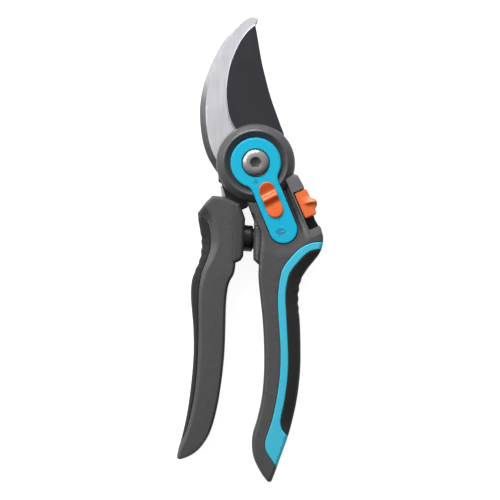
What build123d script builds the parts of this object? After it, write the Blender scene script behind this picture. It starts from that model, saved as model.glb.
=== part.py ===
from build123d import *
import math
import os

# Bypass pruning shears, closed and locked, lying on their back.
# Millimetres. Origin on the pivot axis at the resting plane, +X to the right,
# +Y towards the blade tips, +Z from the resting plane up through the pivot bolt.

# ---------------------------------------------------------------- driving sizes
Z_FRONT = 17.6            # front face of both handles
EDGE_R = 2.0              # rounding of the handle edges
Z_REAR = 5.4              # top of the rear pivot disc
BLADE_T = 3.2             # thickness of either blade
Z_COUNTER = 5.5           # underside of the counter blade
Z_CUTTER = 8.8            # underside of the cutting blade
Z_SHELL = 12.1            # underside of the front shell
Z_BED = 15.9              # top of the shell's bed, under the keyhole plate
Z_PLATE = 17.5            # top of the keyhole plate

HUB_R = 15.0              # blade hubs
HUB_ROOM = 15.4           # room for the hubs inside the housing
RING_R = 18.1             # outside of the pivot housing
DISC_R = 11.5             # round part of the keyhole plate
ARM_HALF = 6.45           # half width of the plate's arm
ARM_LEN = 33.0            # pivot to the centre of the arm's round end
BED_HALF = 9.4            # half width of the shell's bed

BOLT_R = 4.0
BOLT_HEAD_R = 6.2
SOCKET_AF = 4.0
BUSH_R = 6.0
RUN_GAP = 0.05            # running clearance of the cutting blade on its bushing

SPRING_ARC = 34.65        # pivot to the spring's axis
SPRING_Z = 9.0
CUP_R = 6.05
CUP_BORE = 5.1
PLUNGER_R = 4.75
PLUNGER_BORE = 4.2
WIRE_R = 0.55
COIL_R = 2.6

TRAVEL = 5.0              # travel of the lock and of the selector

ARM_DIR = (0.383, -0.924, 0)
LOCK_DIR = (0.397, -0.918, 0)
LOCK_AT = (17.39, -13.85)


def arm_plane(z):
    return Plane(origin=(0, 0, z), x_dir=ARM_DIR, z_dir=(0, 0, 1))


def lock_plane(z):
    return Plane(origin=(LOCK_AT[0], LOCK_AT[1], z), x_dir=LOCK_DIR, z_dir=(0, 0, 1))


# ---------------------------------------------------------------- outlines (x, y)
CUT_EDGE = [(-0.51, 64.22), (-2.35, 62.93), (-4.37, 60.9), (-6.39, 58.33), (-8.56, 54.74), (-10.72, 50.05),
            (-12.33, 45.45), (-13.34, 40.76), (-13.94, 36.06), (-14.08, 31.46), (-13.66, 26.73), (-12.79, 22.03),
            (-11.18, 18.03), (-8.83, 14.54)]
BLADE_BACK = [(-0.37, 64.31), (0.32, 61.36), (1.2, 56.07), (2.12, 50.55), (3.17, 45.03), (4.51, 39.51),
              (5.98, 33.76), (7.73, 28.01), (9.8, 22.26), (11.45, 17.66), (13.2, 13.06)]
CUT_TANG = [(0, 0), (-14.2, -0.6), (-17.3, -3.5), (-17.1, -8.4), (-15.8, -9.3), (-13.9, -15.2), (-19.4, -17.2),
            (-19.3, -19.6), (-16.6, -22.0), (-13.2, -24.3), (-9.8, -25.9), (-7.6, -26.4), (-6.9, -21.6),
            (-3.9, -20.3), (-3.3, -19.3), (-4.2, -14.2)]

HOOK_OUT = [(0.41, 67.34), (-1.43, 67.85), (-3.77, 67.07), (-6.99, 64.77), (-10.67, 61.27), (-14.58, 56.76),
            (-18.08, 51.01), (-21.21, 44.34), (-23.51, 38.36), (-24.89, 32.84), (-25.67, 27.32), (-25.76, 21.34),
            (-25.3, 15.36), (-24.06, 8.69), (-22.13, 3.17), (-19.55, -1.43), (-17.11, -4.88)]
HOOK_IN = [(1.15, 66.15), (0.14, 63.94), (-1.61, 60.67), (-4.09, 56.53), (-6.3, 51.7), (-8.05, 46.64),
           (-9.34, 41.12), (-10.07, 35.6), (-10.17, 30.54), (-9.61, 25.48), (-8.33, 20.42), (-6.07, 15.82)]
HOOK_TANG = [(0, 0), (-2.0, -14.5), (6.9, -25.0), (8.3, -41.6), (14.0, -41.6), (17.4, -37.5), (18.6, -30.0),
             (12.6, -10.2)]

LEFT_TOP = [(-26.68, -22.82), (-22.95, -18.03), (-19.78, -14.86), (-14.31, -15.46), (-7.31, -18.77),
            (-6.03, -21.9), (-4.83, -25.39), (-5.75, -42.9), (-6.95, -44.7), (-9.3, -45.8)]
LEFT_INNER = [(-9.3, -45.8), (-9.52, -48.35), (-10.26, -51.34), (-11.64, -53.73), (-12.56, -56.17),
              (-13.2, -59.62), (-13.62, -63.76), (-13.85, -69.28), (-14.03, -76.64), (-14.35, -85.84),
              (-15.13, -95.04), (-16.33, -104.24), (-17.99, -113.44), (-20.65, -122.64), (-23.0, -127.24),
              (-26.5, -131.56), (-30.31, -134.23), (-34.09, -135.7)]
LEFT_OUTER = [(-36.2, -134.6), (-35.47, -130.92), (-34.27, -127.01), (-33.07, -122.18), (-31.33, -113.67),
              (-29.99, -104.24), (-29.03, -95.04), (-28.52, -86.76), (-28.52, -79.86), (-28.84, -72.96),
              (-29.39, -66.98), (-29.76, -61.46), (-29.58, -55.48), (-28.75, -51.57), (-27.28, -47.66),
              (-25.81, -43.98), (-25.12, -39.38), (-25.12, -34.78), (-25.71, -30.18), (-26.36, -26.5),
              (-26.68, -22.82)]
LEFT_SEAM = [(-28.9, -24.9), (-27.0, -25.15), (-24.06, -25.53), (-22.13, -27.14), (-21.02, -30.64), (-20.61, -35.24),
             (-20.93, -39.38), (-22.08, -43.29), (-23.51, -46.97), (-24.75, -50.23), (-25.48, -53.87),
             (-26.08, -58.24), (-26.31, -63.3), (-26.27, -72.04), (-26.31, -81.24), (-26.68, -90.44),
             (-27.37, -99.64), (-28.61, -108.84), (-30.13, -116.2), (-31.88, -122.64), (-33.72, -126.68),
             (-35.4, -128.2), (-37.5, -129.6)]

RIGHT_NECK = [(-5.38, -15.92), (-4.0, -17.99), (-2.62, -21.67), (-0.78, -26.6), (-0.83, -28.8), (-1.15, -42.14),
              (-1.06, -44.25), (1.43, -46.74)]
RIGHT_INNER = [(1.43, -46.74), (1.24, -51.34), (1.56, -56.4), (2.25, -62.84), (3.17, -72.04), (3.73, -81.24),
               (3.91, -90.44), (3.63, -99.64), (2.67, -108.84), (0.64, -118.04), (-1.33, -124.75),
               (-1.79, -129.08), (-1.2, -134.14), (0.51, -138.55), (3.08, -142.97), (5.47, -146.1)]
RIGHT_OUTER = [(7.13, -146.1), (9.06, -141.13), (10.72, -136.44), (12.51, -131.61), (14.86, -124.94),
               (16.84, -118.04), (18.81, -108.84), (20.06, -99.64), (20.56, -92.28), (20.61, -84.0),
               (20.38, -74.8), (19.92, -67.9), (19.69, -61.92), (20.1, -57.32), (21.3, -52.72), (23.69, -48.67),
               (27.09, -44.44), (29.21, -41.49), (30.59, -38.0), (30.96, -34.09), (30.0, -29.9)]
RIGHT_SPINE = [(30.0, -29.9), (27.55, -25.81), (26.08, -20.98), (23.87, -15.0), (21.76, -10.03), (19.3, -5.6),
               (17.4, -4.9), (15.3, -8.3)]
STRIPE_IN = [(33.0, -36.35), (31.65, -36.35), (27.51, -36.29), (24.06, -37.17), (21.25, -38.55), (18.31, -40.85),
             (15.82, -43.61), (13.57, -46.46), (12.05, -49.22), (11.27, -52.26), (10.67, -55.94),
             (10.26, -60.08), (10.17, -64.68), (10.4, -69.74), (10.81, -75.72), (11.22, -82.16), (11.36, -88.6),
             (11.22, -94.58), (10.72, -100.1), (9.94, -106.08), (8.79, -112.06), (7.45, -117.81),
             (5.89, -122.64), (4.65, -126.32), (4.19, -129.31), (4.83, -132.02), (6.49, -134.69),
             (9.52, -139.1), (11.0, -141.2)]
STRIPE_OUT = [(33.0, -39.5), (31.65, -39.47), (28.2, -39.61), (25.16, -40.39), (22.59, -42.09), (19.87, -44.94),
              (17.25, -48.02), (15.36, -51.11), (14.35, -54.79), (13.75, -58.88), (13.66, -63.3),
              (13.94, -67.9), (14.26, -73.88), (14.58, -80.32), (14.86, -87.22), (14.86, -93.2),
              (14.49, -98.95), (13.8, -104.7), (12.83, -110.68), (11.73, -115.51), (11.32, -118.73),
              (11.91, -121.62), (13.39, -123.74), (15.96, -126.32), (18.0, -128.2)]

# light alloy strap behind the tang, everywhere more than 18.4 mm from the pivot
STRAP = [(-16.4, -10.1), (-15.5, -10.3), (-13.4, -13.1), (-10.5, -15.6), (-8.6, -18.9), (-8.0, -24.2),
         (-9.4, -25.7), (-13.2, -24.0), (-16.4, -21.7), (-19.0, -19.3), (-19.2, -17.4), (-15.6, -15.6)]
RIVETS = [(-11.6, -20.4), (-15.9, -18.2)]
PINS = [(12.0, -21.0), (11.2, -38.4)]
SCREWS = [(1.6, -21.6), (15.0, -36.3)]


def arc_angle(deg):
    """Point at the spring's arc radius, deg to the right of straight down."""
    a = math.radians(deg)
    return (SPRING_ARC * math.sin(a), -SPRING_ARC * math.cos(a))


def spring_plane(deg):
    """Plane square to the spring's arc at deg to the right of straight down."""
    a = math.radians(deg)
    x, y = arc_angle(deg)
    return Plane(origin=(x, y, SPRING_Z), x_dir=(0, 0, 1), z_dir=(math.cos(a), math.sin(a), 0))


CUP_FROM, CUP_TO = -2.3, -29.8
BORE_TO = -28.8
PLUNGER_FROM, PLUNGER_TO = 7.0, -28.2

# ================================================================ fixed side
with BuildPart() as counter_blade:
    with BuildSketch(Plane.XY.offset(Z_COUNTER)):
        with BuildLine():
            Spline(*HOOK_OUT)
            Polyline(HOOK_OUT[-1], (-12.4, -8.4), (0, 0), (0, 13.5), HOOK_IN[-1])
            Spline(*HOOK_IN)
            Line(HOOK_IN[0], HOOK_OUT[0])
        make_face()
        Circle(HUB_R)
        with BuildLine():
            Polyline(*HOOK_TANG, close=True)
        make_face()
        Circle(BUSH_R, mode=Mode.SUBTRACT)
        with Locations(*PINS):
            Circle(1.6, mode=Mode.SUBTRACT)
        with Locations(SCREWS[1]):
            Circle(1.4, mode=Mode.SUBTRACT)
    extrude(amount=BLADE_T)
counter_blade.part.label = "counter_blade"

with BuildPart() as right_whole:
    with BuildSketch(Plane.XY):
        with BuildLine():
            Polyline(*RIGHT_NECK)
            Spline(*RIGHT_INNER)
            Line(RIGHT_INNER[-1], RIGHT_OUTER[0])
            Spline(*RIGHT_OUTER)
            Polyline(*RIGHT_SPINE)
            Line(RIGHT_SPINE[-1], (0, 0))
            Line((0, 0), RIGHT_NECK[0])
        make_face()
    extrude(amount=Z_FRONT)
    grip_edges = right_whole.faces().filter_by(Axis.Z).edges().filter_by(lambda e: e.center().Y < -15.0)
    fillet(grip_edges, radius=EDGE_R / 2)
    with BuildSketch(Plane.XY):
        Circle(RING_R)
    extrude(amount=Z_SHELL)

with BuildPart() as right_handle_body:
    add(right_whole.part)
    # room for both hubs and for everything the moving side sweeps
    with BuildSketch(Plane.XY.offset(Z_REAR)):
        Circle(HUB_ROOM)
        with BuildLine():
            Polyline((0, 0), (30 * math.cos(math.radians(3)), 30 * math.sin(math.radians(3))), (30, 30),
                     (-30, 30), (-30, -30), (30 * math.cos(math.radians(267)), 30 * math.sin(math.radians(267))),
                     close=True)
        make_face()
    extrude(amount=Z_SHELL - Z_REAR, mode=Mode.SUBTRACT)
    # pocket of the counter blade's tang
    with BuildSketch(Plane.XY.offset(Z_COUNTER - 0.1)):
        with BuildLine():
            Polyline(*HOOK_TANG, close=True)
        make_face()
    extrude(amount=BLADE_T + 0.1, mode=Mode.SUBTRACT)
    # seat of the front shell
    with BuildSketch(Plane.XY.offset(Z_SHELL)):
        Circle(RING_R + 0.05)
    extrude(amount=20, mode=Mode.SUBTRACT)
    with BuildSketch(arm_plane(Z_SHELL)):
        with Locations((ARM_LEN / 2, -1.0)):
            Rectangle(ARM_LEN, 2 * BED_HALF + 2.0)
        with Locations((ARM_LEN, 0)):
            Circle(BED_HALF)
        with Locations((ARM_LEN, -5.5)):
            Rectangle(2 * 6.0, 7.0)
    extrude(amount=20, mode=Mode.SUBTRACT)
    # seat of the lock rail and its bar
    with BuildSketch(lock_plane(3.0)):
        with Locations((6.6, 4.0)):
            Rectangle(30.8, 10.0)
    extrude(amount=20, mode=Mode.SUBTRACT)
    with BuildSketch(lock_plane(8.7)):
        with Locations((-6.0, 2.3)):
            Rectangle(14.0, 3.4)
    extrude(amount=3.4, mode=Mode.SUBTRACT)
    # bolt hole and hex pocket for the nut
    with BuildSketch(Plane.XY):
        Circle(BOLT_R + 0.1)
    extrude(amount=20, mode=Mode.SUBTRACT)
    with BuildSketch(Plane.XY):
        RegularPolygon(radius=5.05, side_count=6, major_radius=False)
    extrude(amount=5.0, mode=Mode.SUBTRACT)
    # arc-shaped seat of the spring plunger
    with BuildSketch(spring_plane(PLUNGER_FROM)):
        Circle(PLUNGER_R)
    revolve(axis=Axis.Z, revolution_arc=-11.0, mode=Mode.SUBTRACT)
    # pins and screws
    with BuildSketch(Plane.XY.offset(3.4)):
        with Locations(*PINS):
            Circle(1.6)
    extrude(amount=8.2, mode=Mode.SUBTRACT)
    with BuildSketch(Plane.XY):
        with Locations(*SCREWS):
            Circle(1.4)
    extrude(amount=Z_SHELL, mode=Mode.SUBTRACT)
    with BuildSketch(Plane.XY):
        with Locations(*SCREWS):
            Circle(2.7)
    extrude(amount=2.2, mode=Mode.SUBTRACT)
    # the soft stripe and insert take the outer side
    with BuildSketch(Plane.XY.offset(-1)):
        with BuildLine():
            Spline(*STRIPE_IN)
            Polyline(STRIPE_IN[-1], (45, -141.2), (45, -36.35), STRIPE_IN[0])
        make_face()
    extrude(amount=30, mode=Mode.SUBTRACT)
right_handle_body.part.label = "right_handle_body"

with BuildPart() as right_grip_stripe:
    add(right_whole.part)
    with BuildSketch(Plane.XY.offset(-1)):
        with BuildLine():
            Spline(*STRIPE_IN)
            Polyline(STRIPE_IN[-1], (45, -141.2), (45, -36.35), STRIPE_IN[0])
        make_face()
    extrude(amount=30, mode=Mode.INTERSECT)
    with BuildSketch(Plane.XY.offset(-1)):
        with BuildLine():
            Spline(*STRIPE_OUT)
            Polyline(STRIPE_OUT[-1], (45, -128.2), (45, -39.5), STRIPE_OUT[0])
        make_face()
    extrude(amount=30, mode=Mode.SUBTRACT)
right_grip_stripe.part.label = "right_grip_stripe"

with BuildPart() as right_grip_insert:
    add(right_whole.part)
    with BuildSketch(Plane.XY.offset(-1)):
        with BuildLine():
            Spline(*STRIPE_OUT)
            Polyline(STRIPE_OUT[-1], (45, -128.2), (45, -39.5), STRIPE_OUT[0])
        make_face()
    extrude(amount=30, mode=Mode.INTERSECT)
right_grip_insert.part.label = "right_grip_insert"

with BuildPart() as lock_rail:
    with BuildSketch(Plane.XY.offset(3.0)):
        with BuildLine():
            Polyline(*RIGHT_SPINE, (-5, -20), (5, -40), (30.96, -34.09), RIGHT_SPINE[0])
        make_face()
    extrude(amount=Z_FRONT - 3.0)
    with BuildSketch(lock_plane(0)):
        with Locations((6.6, 4.0)):
            Rectangle(30.8, 10.0)
    extrude(amount=30, mode=Mode.INTERSECT)
    # the slider's track, open to the front and to the outer side
    with BuildSketch(lock_plane(4.0)):
        with Locations((9.0, 4.75)):
            Rectangle(18.6, 10.0)
    extrude(amount=20, mode=Mode.SUBTRACT)
    # room for the latch bar, and for the pivot disc and hubs
    with BuildSketch(lock_plane(8.7)):
        with Locations((-6.0, 2.3)):
            Rectangle(14.0, 3.4)
    extrude(amount=3.4, mode=Mode.SUBTRACT)
    with BuildSketch(Plane.XY):
        Circle(RING_R)
    extrude(amount=Z_SHELL, mode=Mode.SUBTRACT)
    with BuildSketch(Plane.XY):
        Circle(15.8)
    extrude(amount=30, mode=Mode.SUBTRACT)
lock_rail.part.label = "lock_rail"

with BuildPart() as pivot_housing:
    # raised ring round the pivot
    with BuildSketch(Plane.XZ):
        with BuildLine():
            Polyline((BOLT_R + 0.1, Z_SHELL), (RING_R, Z_SHELL), (RING_R, 14.6), (17.2, 16.5), (15.6, 17.9),
                     (14.6, 18.2), (13.7, 17.8), (11.7, Z_BED), (BOLT_R + 0.1, Z_BED), close=True)
        make_face()
    revolve(axis=Axis.Z)
    # bed of the plate's arm
    with BuildSketch(arm_plane(Z_SHELL)):
        with Locations((ARM_LEN / 2, -1.0)):
            Rectangle(ARM_LEN, 2 * BED_HALF + 2.0)
        with Locations((ARM_LEN, 0)):
            Circle(BED_HALF)
        with Locations((ARM_LEN, -5.5)):
            Rectangle(2 * 6.0, 7.0)
    extrude(amount=Z_BED - Z_SHELL)
    with BuildSketch(Plane.XY):
        Circle(BOLT_R + 0.1)
    extrude(amount=30, mode=Mode.SUBTRACT)
    # nothing stands outside the neck of the handle
    with BuildSketch(Plane.XY):
        with BuildLine():
            Polyline((-5.38, -15.92), (-4.0, -17.99), (-2.62, -21.67), (-0.78, -26.6), (-0.83, -28.8),
                     (-1.1, -40.0), (-40, -40), (-40, -17.0), (-12, -17.2), (-6.2, -17.1), close=True)
        make_face()
    extrude(amount=30, mode=Mode.SUBTRACT)
    # the keyhole plate and the lock rail are let into it
    with BuildSketch(arm_plane(Z_BED)):
        Circle(DISC_R + 0.1)
        with Locations((ARM_LEN / 2, 0)):
            Rectangle(ARM_LEN, 2 * ARM_HALF + 0.2)
    extrude(amount=10, mode=Mode.SUBTRACT)
    with BuildSketch(lock_plane(Z_SHELL - 1)):
        with Locations((6.6, 4.0)):
            Rectangle(30.8, 10.0)
        with Locations(lock_plane(Z_SHELL - 1).to_local_coords(Vector(0, 0, Z_SHELL - 1))):
            Circle(15.8, mode=Mode.SUBTRACT)
    extrude(amount=20, mode=Mode.SUBTRACT)
    # slot of the selector's stem
    with BuildSketch(arm_plane(0)):
        with Locations((20.0, 0)):
            SlotOverall(10.6, 3.3)
    extrude(amount=30, mode=Mode.SUBTRACT)
    # blind holes of the screws
    with BuildSketch(Plane.XY.offset(Z_SHELL)):
        with Locations(*SCREWS):
            Circle(1.25)
    extrude(amount=2.6, mode=Mode.SUBTRACT)
pivot_housing.part.label = "pivot_housing"

with BuildPart() as keyhole_plate:
    with BuildSketch(arm_plane(Z_BED)) as keyhole_sk:
        Circle(DISC_R)
        with Locations((ARM_LEN / 2, 0)):
            Rectangle(ARM_LEN, 2 * ARM_HALF)
        with Locations((ARM_LEN, 0)):
            Circle(ARM_HALF)
        fillet(keyhole_sk.vertices().filter_by(lambda v: abs(v.Z - Z_BED) < 9 and math.hypot(v.X, v.Y) < 13.5
                                               and math.hypot(v.X, v.Y) > 10), radius=4.0)
    extrude(amount=Z_PLATE - Z_BED)
    chamfer(keyhole_plate.faces().sort_by(Axis.Z)[-1].edges(), length=0.35)
    with BuildSketch(arm_plane(Z_BED)):
        Circle(BOLT_HEAD_R + 0.25)
        with Locations((20.0, 0)):
            SlotOverall(10.6, 3.3)
    extrude(amount=10, mode=Mode.SUBTRACT)
keyhole_plate.part.label = "keyhole_plate"

with BuildPart() as pivot_bolt:
    with BuildSketch(Plane.XZ):
        with BuildLine():
            Polyline((0, 0.9), (BOLT_R - 0.6, 0.9), (BOLT_R, 1.5), (BOLT_R, 16.5), (BOLT_HEAD_R, 16.5),
                     (BOLT_HEAD_R, 17.7))
            ThreePointArc((BOLT_HEAD_R, 17.7), (5.2, 18.55), (3.2, 18.9))
            Polyline((3.2, 18.9), (0, 18.9), (0, 0.9))
        make_face()
    revolve(axis=Axis.Z)
    with BuildSketch(Plane.XY.offset(18.9)):
        RegularPolygon(radius=SOCKET_AF / 2, side_count=6, major_radius=False)
    extrude(amount=-2.6, mode=Mode.SUBTRACT)
pivot_bolt.part.label = "pivot_bolt"

with BuildPart() as pivot_washer:
    with BuildSketch(Plane.XY.offset(Z_BED)):
        Circle(BOLT_HEAD_R)
        Circle(BOLT_R + 0.1, mode=Mode.SUBTRACT)
    extrude(amount=0.6)
pivot_washer.part.label = "pivot_washer"

with BuildPart() as pivot_bushing:
    with BuildSketch(Plane.XY.offset(Z_REAR)):
        Circle(BUSH_R)
        Circle(BOLT_R + 0.03, mode=Mode.SUBTRACT)
    extrude(amount=Z_SHELL - Z_REAR)
pivot_bushing.part.label = "pivot_bushing"

with BuildPart() as pivot_nut:
    with BuildSketch(Plane.XY.offset(0.6)):
        RegularPolygon(radius=5.0, side_count=6, major_radius=False)
        Circle(BOLT_R + 0.02, mode=Mode.SUBTRACT)
    extrude(amount=4.4)
    with BuildSketch(Plane.XZ):
        with BuildLine():
            Polyline((4.6, 0.0), (6.4, 0.0), (6.4, 1.5), (4.9, 0.6), (4.6, 0.6), close=True)
        make_face()
    revolve(axis=Axis.Z, mode=Mode.SUBTRACT)
pivot_nut.part.label = "pivot_nut"

with BuildPart() as spring_plunger:
    with BuildSketch(spring_plane(PLUNGER_FROM)):
        Circle(PLUNGER_R)
    revolve(axis=Axis.Z, revolution_arc=PLUNGER_TO - PLUNGER_FROM)
    with BuildSketch(spring_plane(PLUNGER_FROM - 1.6)):
        Circle(PLUNGER_BORE)
    revolve(axis=Axis.Z, revolution_arc=PLUNGER_TO - PLUNGER_FROM - 2, mode=Mode.SUBTRACT)
spring_plunger.part.label = "spring_plunger"

# coil spring on a straight axis between its two seats
seat_a = Vector(*arc_angle(PLUNGER_FROM - 2.2), SPRING_Z)
seat_b = Vector(*arc_angle(BORE_TO + 2.4), SPRING_Z)
axis_shift = Vector(0, -1, 0).rotate(Axis.Z, -13.5) * 0.62
coil_len = (seat_b - seat_a).length
with BuildPart() as coil_spring:
    with BuildLine() as coil_path:
        Helix(pitch=coil_len / 7.5, height=coil_len, radius=COIL_R, center=seat_a + axis_shift,
              direction=(seat_b - seat_a).normalized())
    with BuildSketch(Plane(origin=coil_path.line @ 0, z_dir=coil_path.line % 0)):
        Circle(WIRE_R)
    sweep(is_frenet=True)
coil_spring.part.label = "coil_spring"

with BuildPart() as counter_blade_pins:
    with BuildSketch(Plane.XY.offset(3.4)):
        with Locations(*PINS):
            Circle(1.6)
    extrude(amount=8.2)
counter_blade_pins.part.label = "counter_blade_pins"

with BuildPart() as housing_screws:
    with BuildSketch(Plane.XY.offset(0.4)):
        with Locations(*SCREWS):
            Circle(2.6)
    extrude(amount=1.8)
    with BuildSketch(Plane.XY.offset(0.4)):
        with Locations(*SCREWS):
            Circle(1.25)
    extrude(amount=14.0)
    with BuildSketch(Plane.XY.offset(0.4)):
        with Locations(*SCREWS):
            Rectangle(3.4, 0.7)
            Rectangle(0.7, 3.4)
    extrude(amount=1.1, mode=Mode.SUBTRACT)
housing_screws.part.label = "housing_screws"

# ================================================================ thumb lock
with BuildPart() as lock_slider:
    with BuildSketch(lock_plane(4.3)) as slider_sk:
        with BuildLine():
            Polyline((0.0, 0.1), (12.9, 0.1), (12.9, 6.0), (10.4, 6.15), (9.3, 7.9), (6.9, 8.4), (5.6, 7.2),
                     (5.0, 6.3), (0.9, 6.15), (0.0, 5.4), close=True)
        make_face()
        fillet(slider_sk.vertices(), radius=0.35)
    extrude(amount=12.7)
    chamfer(lock_slider.faces().sort_by(Axis.Z)[-1].edges(), length=0.3)
    with BuildSketch(lock_plane(9.0)):
        with Locations((-0.1, 2.3)):
            Rectangle(18.2, 2.8)
    extrude(amount=2.8, mode=Mode.SUBTRACT)
    with BuildSketch(lock_plane(4.0)):
        with Locations((6.4, 2.3)):
            Circle(0.95)
    extrude(amount=3.6, mode=Mode.SUBTRACT)
lock_slider.part.label = "lock_slider"

with BuildPart() as lock_bar:
    with BuildSketch(lock_plane(9.0)):
        with Locations((-0.1, 2.3)):
            Rectangle(18.2, 2.8)
    extrude(amount=2.8)
    chamfer(lock_bar.edges().filter_by(Axis.Z).sort_by(Axis.Y)[-2:], length=0.6)
lock_bar.part.label = "lock_bar"

with BuildPart() as lock_detent:
    with Locations(lock_plane(4.95).from_local_coords(Vector(6.4, 2.3, 0))):
        Sphere(0.9)
    with BuildSketch(lock_plane(5.9)):
        with Locations((6.4, 2.3)):
            Circle(0.85)
            Circle(0.5, mode=Mode.SUBTRACT)
    extrude(amount=1.6)
lock_detent.part.label = "lock_detent"

# ================================================================ opening selector
with BuildPart() as selector_button:
    with BuildSketch(arm_plane(Z_PLATE + 0.1)):
        with Locations((18.3, 0)):
            SlotOverall(17.0, 7.4)
    extrude(amount=0.7)
    with BuildSketch(Plane(origin=(0, 0, 0), x_dir=ARM_DIR, z_dir=(-0.924, -0.383, 0)).offset(-3.4)):
        with BuildLine():
            Polyline((15.2, 18.2), (16.6, 19.0), (18.0, 19.7), (19.0, 19.75), (19.6, 19.3), (19.9, 18.2),
                     close=True)
        make_face()
    extrude(amount=6.8)
    with BuildSketch(arm_plane(14.2)):
        with Locations((17.5, 0)):
            SlotOverall(5.0, 3.0)
    extrude(amount=Z_PLATE + 0.3 - 14.2)
    with BuildSketch(arm_plane(12.2)):
        with Locations((17.5, 0)):
            Circle(1.0)
    extrude(amount=5.0, mode=Mode.SUBTRACT)
    with BuildSketch(arm_plane(Z_PLATE)):
        with Locations((17.5, 2.6), (17.5, -2.6)):
            Circle(0.6)
    extrude(amount=1.45, mode=Mode.SUBTRACT)
selector_button.part.label = "selector_button"

with BuildPart() as selector_stop_pin:
    with BuildSketch(arm_plane(12.25)):
        with Locations((17.5, 0)):
            Circle(1.0)
    extrude(amount=4.95)
selector_stop_pin.part.label = "selector_stop_pin"

with BuildPart() as selector_detents:
    with Locations(arm_plane(Z_PLATE + 0.6).from_local_coords(Vector(17.5, 2.6, 0)),
                   arm_plane(Z_PLATE + 0.6).from_local_coords(Vector(17.5, -2.6, 0))):
        Sphere(0.55)
selector_detents.part.label = "selector_detents"

# ================================================================ moving side
with BuildPart() as cutting_blade:
    with BuildSketch(Plane.XY.offset(Z_CUTTER)):
        with BuildLine():
            Spline(*CUT_EDGE)
            Polyline(CUT_EDGE[-1], (0, 0), (13.2, 2.0), BLADE_BACK[-1])
            Spline(*BLADE_BACK)
            Line(BLADE_BACK[0], CUT_EDGE[0])
        make_face()
        Circle(HUB_R)
        with BuildLine():
            Polyline(*CUT_TANG, close=True)
        make_face()
        Circle(BUSH_R + RUN_GAP, mode=Mode.SUBTRACT)
        with Locations(*RIVETS):
            Circle(1.6, mode=Mode.SUBTRACT)
    extrude(amount=BLADE_T)
    # notch for the latch
    with BuildSketch(lock_plane(Z_CUTTER)):
        with Locations((-11.0, 2.3)):
            Rectangle(4.0, 3.6)
    extrude(amount=BLADE_T, mode=Mode.SUBTRACT)
cutting_blade.part.label = "cutting_blade"

with BuildPart() as left_whole:
    with BuildSketch(Plane.XY):
        with BuildLine():
            Polyline(*LEFT_TOP)
            Spline(*LEFT_INNER)
            Line(LEFT_INNER[-1], LEFT_OUTER[0])
            Spline(*LEFT_OUTER)
        make_face()
    extrude(amount=Z_FRONT)
    fillet(left_whole.faces().filter_by(Axis.Z).edges(), radius=EDGE_R)

with BuildPart() as left_handle_body:
    add(left_whole.part)
    with BuildSketch(Plane.XY.offset(Z_CUTTER)):
        with BuildLine():
            Polyline(*CUT_TANG, close=True)
        make_face()
    extrude(amount=BLADE_T, mode=Mode.SUBTRACT)
    with BuildSketch(Plane.XY.offset(2.4)):
        with BuildLine():
            Polyline(*STRAP, close=True)
        make_face()
    extrude(amount=2.8, mode=Mode.SUBTRACT)
    with BuildSketch(Plane.XY.offset(2.4)):
        with Locations(*RIVETS):
            Circle(1.6)
    extrude(amount=9.6, mode=Mode.SUBTRACT)
    with BuildSketch(spring_plane(CUP_FROM)):
        Circle(CUP_R)
    revolve(axis=Axis.Z, revolution_arc=CUP_TO - CUP_FROM, mode=Mode.SUBTRACT)
    with BuildSketch(Plane.XY.offset(-1)):
        with BuildLine():
            Spline(*LEFT_SEAM)
            Polyline(LEFT_SEAM[-1], (-50, -129.6), (-50, -24.9), LEFT_SEAM[0])
        make_face()
    extrude(amount=30, mode=Mode.SUBTRACT)
left_handle_body.part.label = "left_handle_body"

with BuildPart() as left_grip_insert:
    with BuildSketch(Plane.XY):
        with BuildLine():
            Spline(*LEFT_OUTER)
            Polyline(LEFT_OUTER[-1], (-5, -22.82), (-5, -134.6), LEFT_OUTER[0])
        make_face()
    extrude(amount=Z_FRONT)
    with BuildSketch(Plane.XY.offset(-1)):
        with BuildLine():
            Spline(*LEFT_SEAM)
            Polyline(LEFT_SEAM[-1], (-50, -129.6), (-50, -24.9), LEFT_SEAM[0])
        make_face()
    extrude(amount=30, mode=Mode.INTERSECT)
left_grip_insert.part.label = "left_grip_insert"

with BuildPart() as neck_bracket:
    with BuildSketch(Plane.XY.offset(2.4)):
        with BuildLine():
            Polyline(*STRAP, close=True)
        make_face()
        with Locations(*RIVETS):
            Circle(1.6, mode=Mode.SUBTRACT)
    extrude(amount=2.8)
neck_bracket.part.label = "neck_bracket"

with BuildPart() as blade_rivets:
    with BuildSketch(Plane.XY.offset(2.4)):
        with Locations(*RIVETS):
            Circle(1.6)
    extrude(amount=9.6)
blade_rivets.part.label = "blade_rivets"

with BuildPart() as spring_cup:
    with BuildSketch(spring_plane(CUP_FROM)):
        Circle(CUP_R)
    revolve(axis=Axis.Z, revolution_arc=CUP_TO - CUP_FROM)
    chamfer(spring_cup.faces().sort_by(Axis.X)[-1].edges(), length=0.5)
    with BuildSketch(spring_plane(CUP_FROM + 1)):
        Circle(CUP_BORE)
    revolve(axis=Axis.Z, revolution_arc=BORE_TO - CUP_FROM - 1, mode=Mode.SUBTRACT)
spring_cup.part.label = "spring_cup"

os.makedirs("parts", exist_ok=True)
for piece in (counter_blade, right_handle_body, right_grip_stripe, right_grip_insert, lock_rail, pivot_housing,
              keyhole_plate, pivot_bolt, pivot_washer, pivot_bushing, pivot_nut, spring_plunger, coil_spring,
              counter_blade_pins, housing_screws, lock_slider, lock_bar, lock_detent, selector_button,
              selector_stop_pin, selector_detents, cutting_blade, left_handle_body, left_grip_insert,
              neck_bracket, blade_rivets, spring_cup):
    export_step(piece.part, "parts/" + piece.part.label + ".step")
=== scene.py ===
import bpy
import math
import numpy as np
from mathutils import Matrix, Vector
from mathutils.geometry import delaunay_2d_cdt


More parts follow.
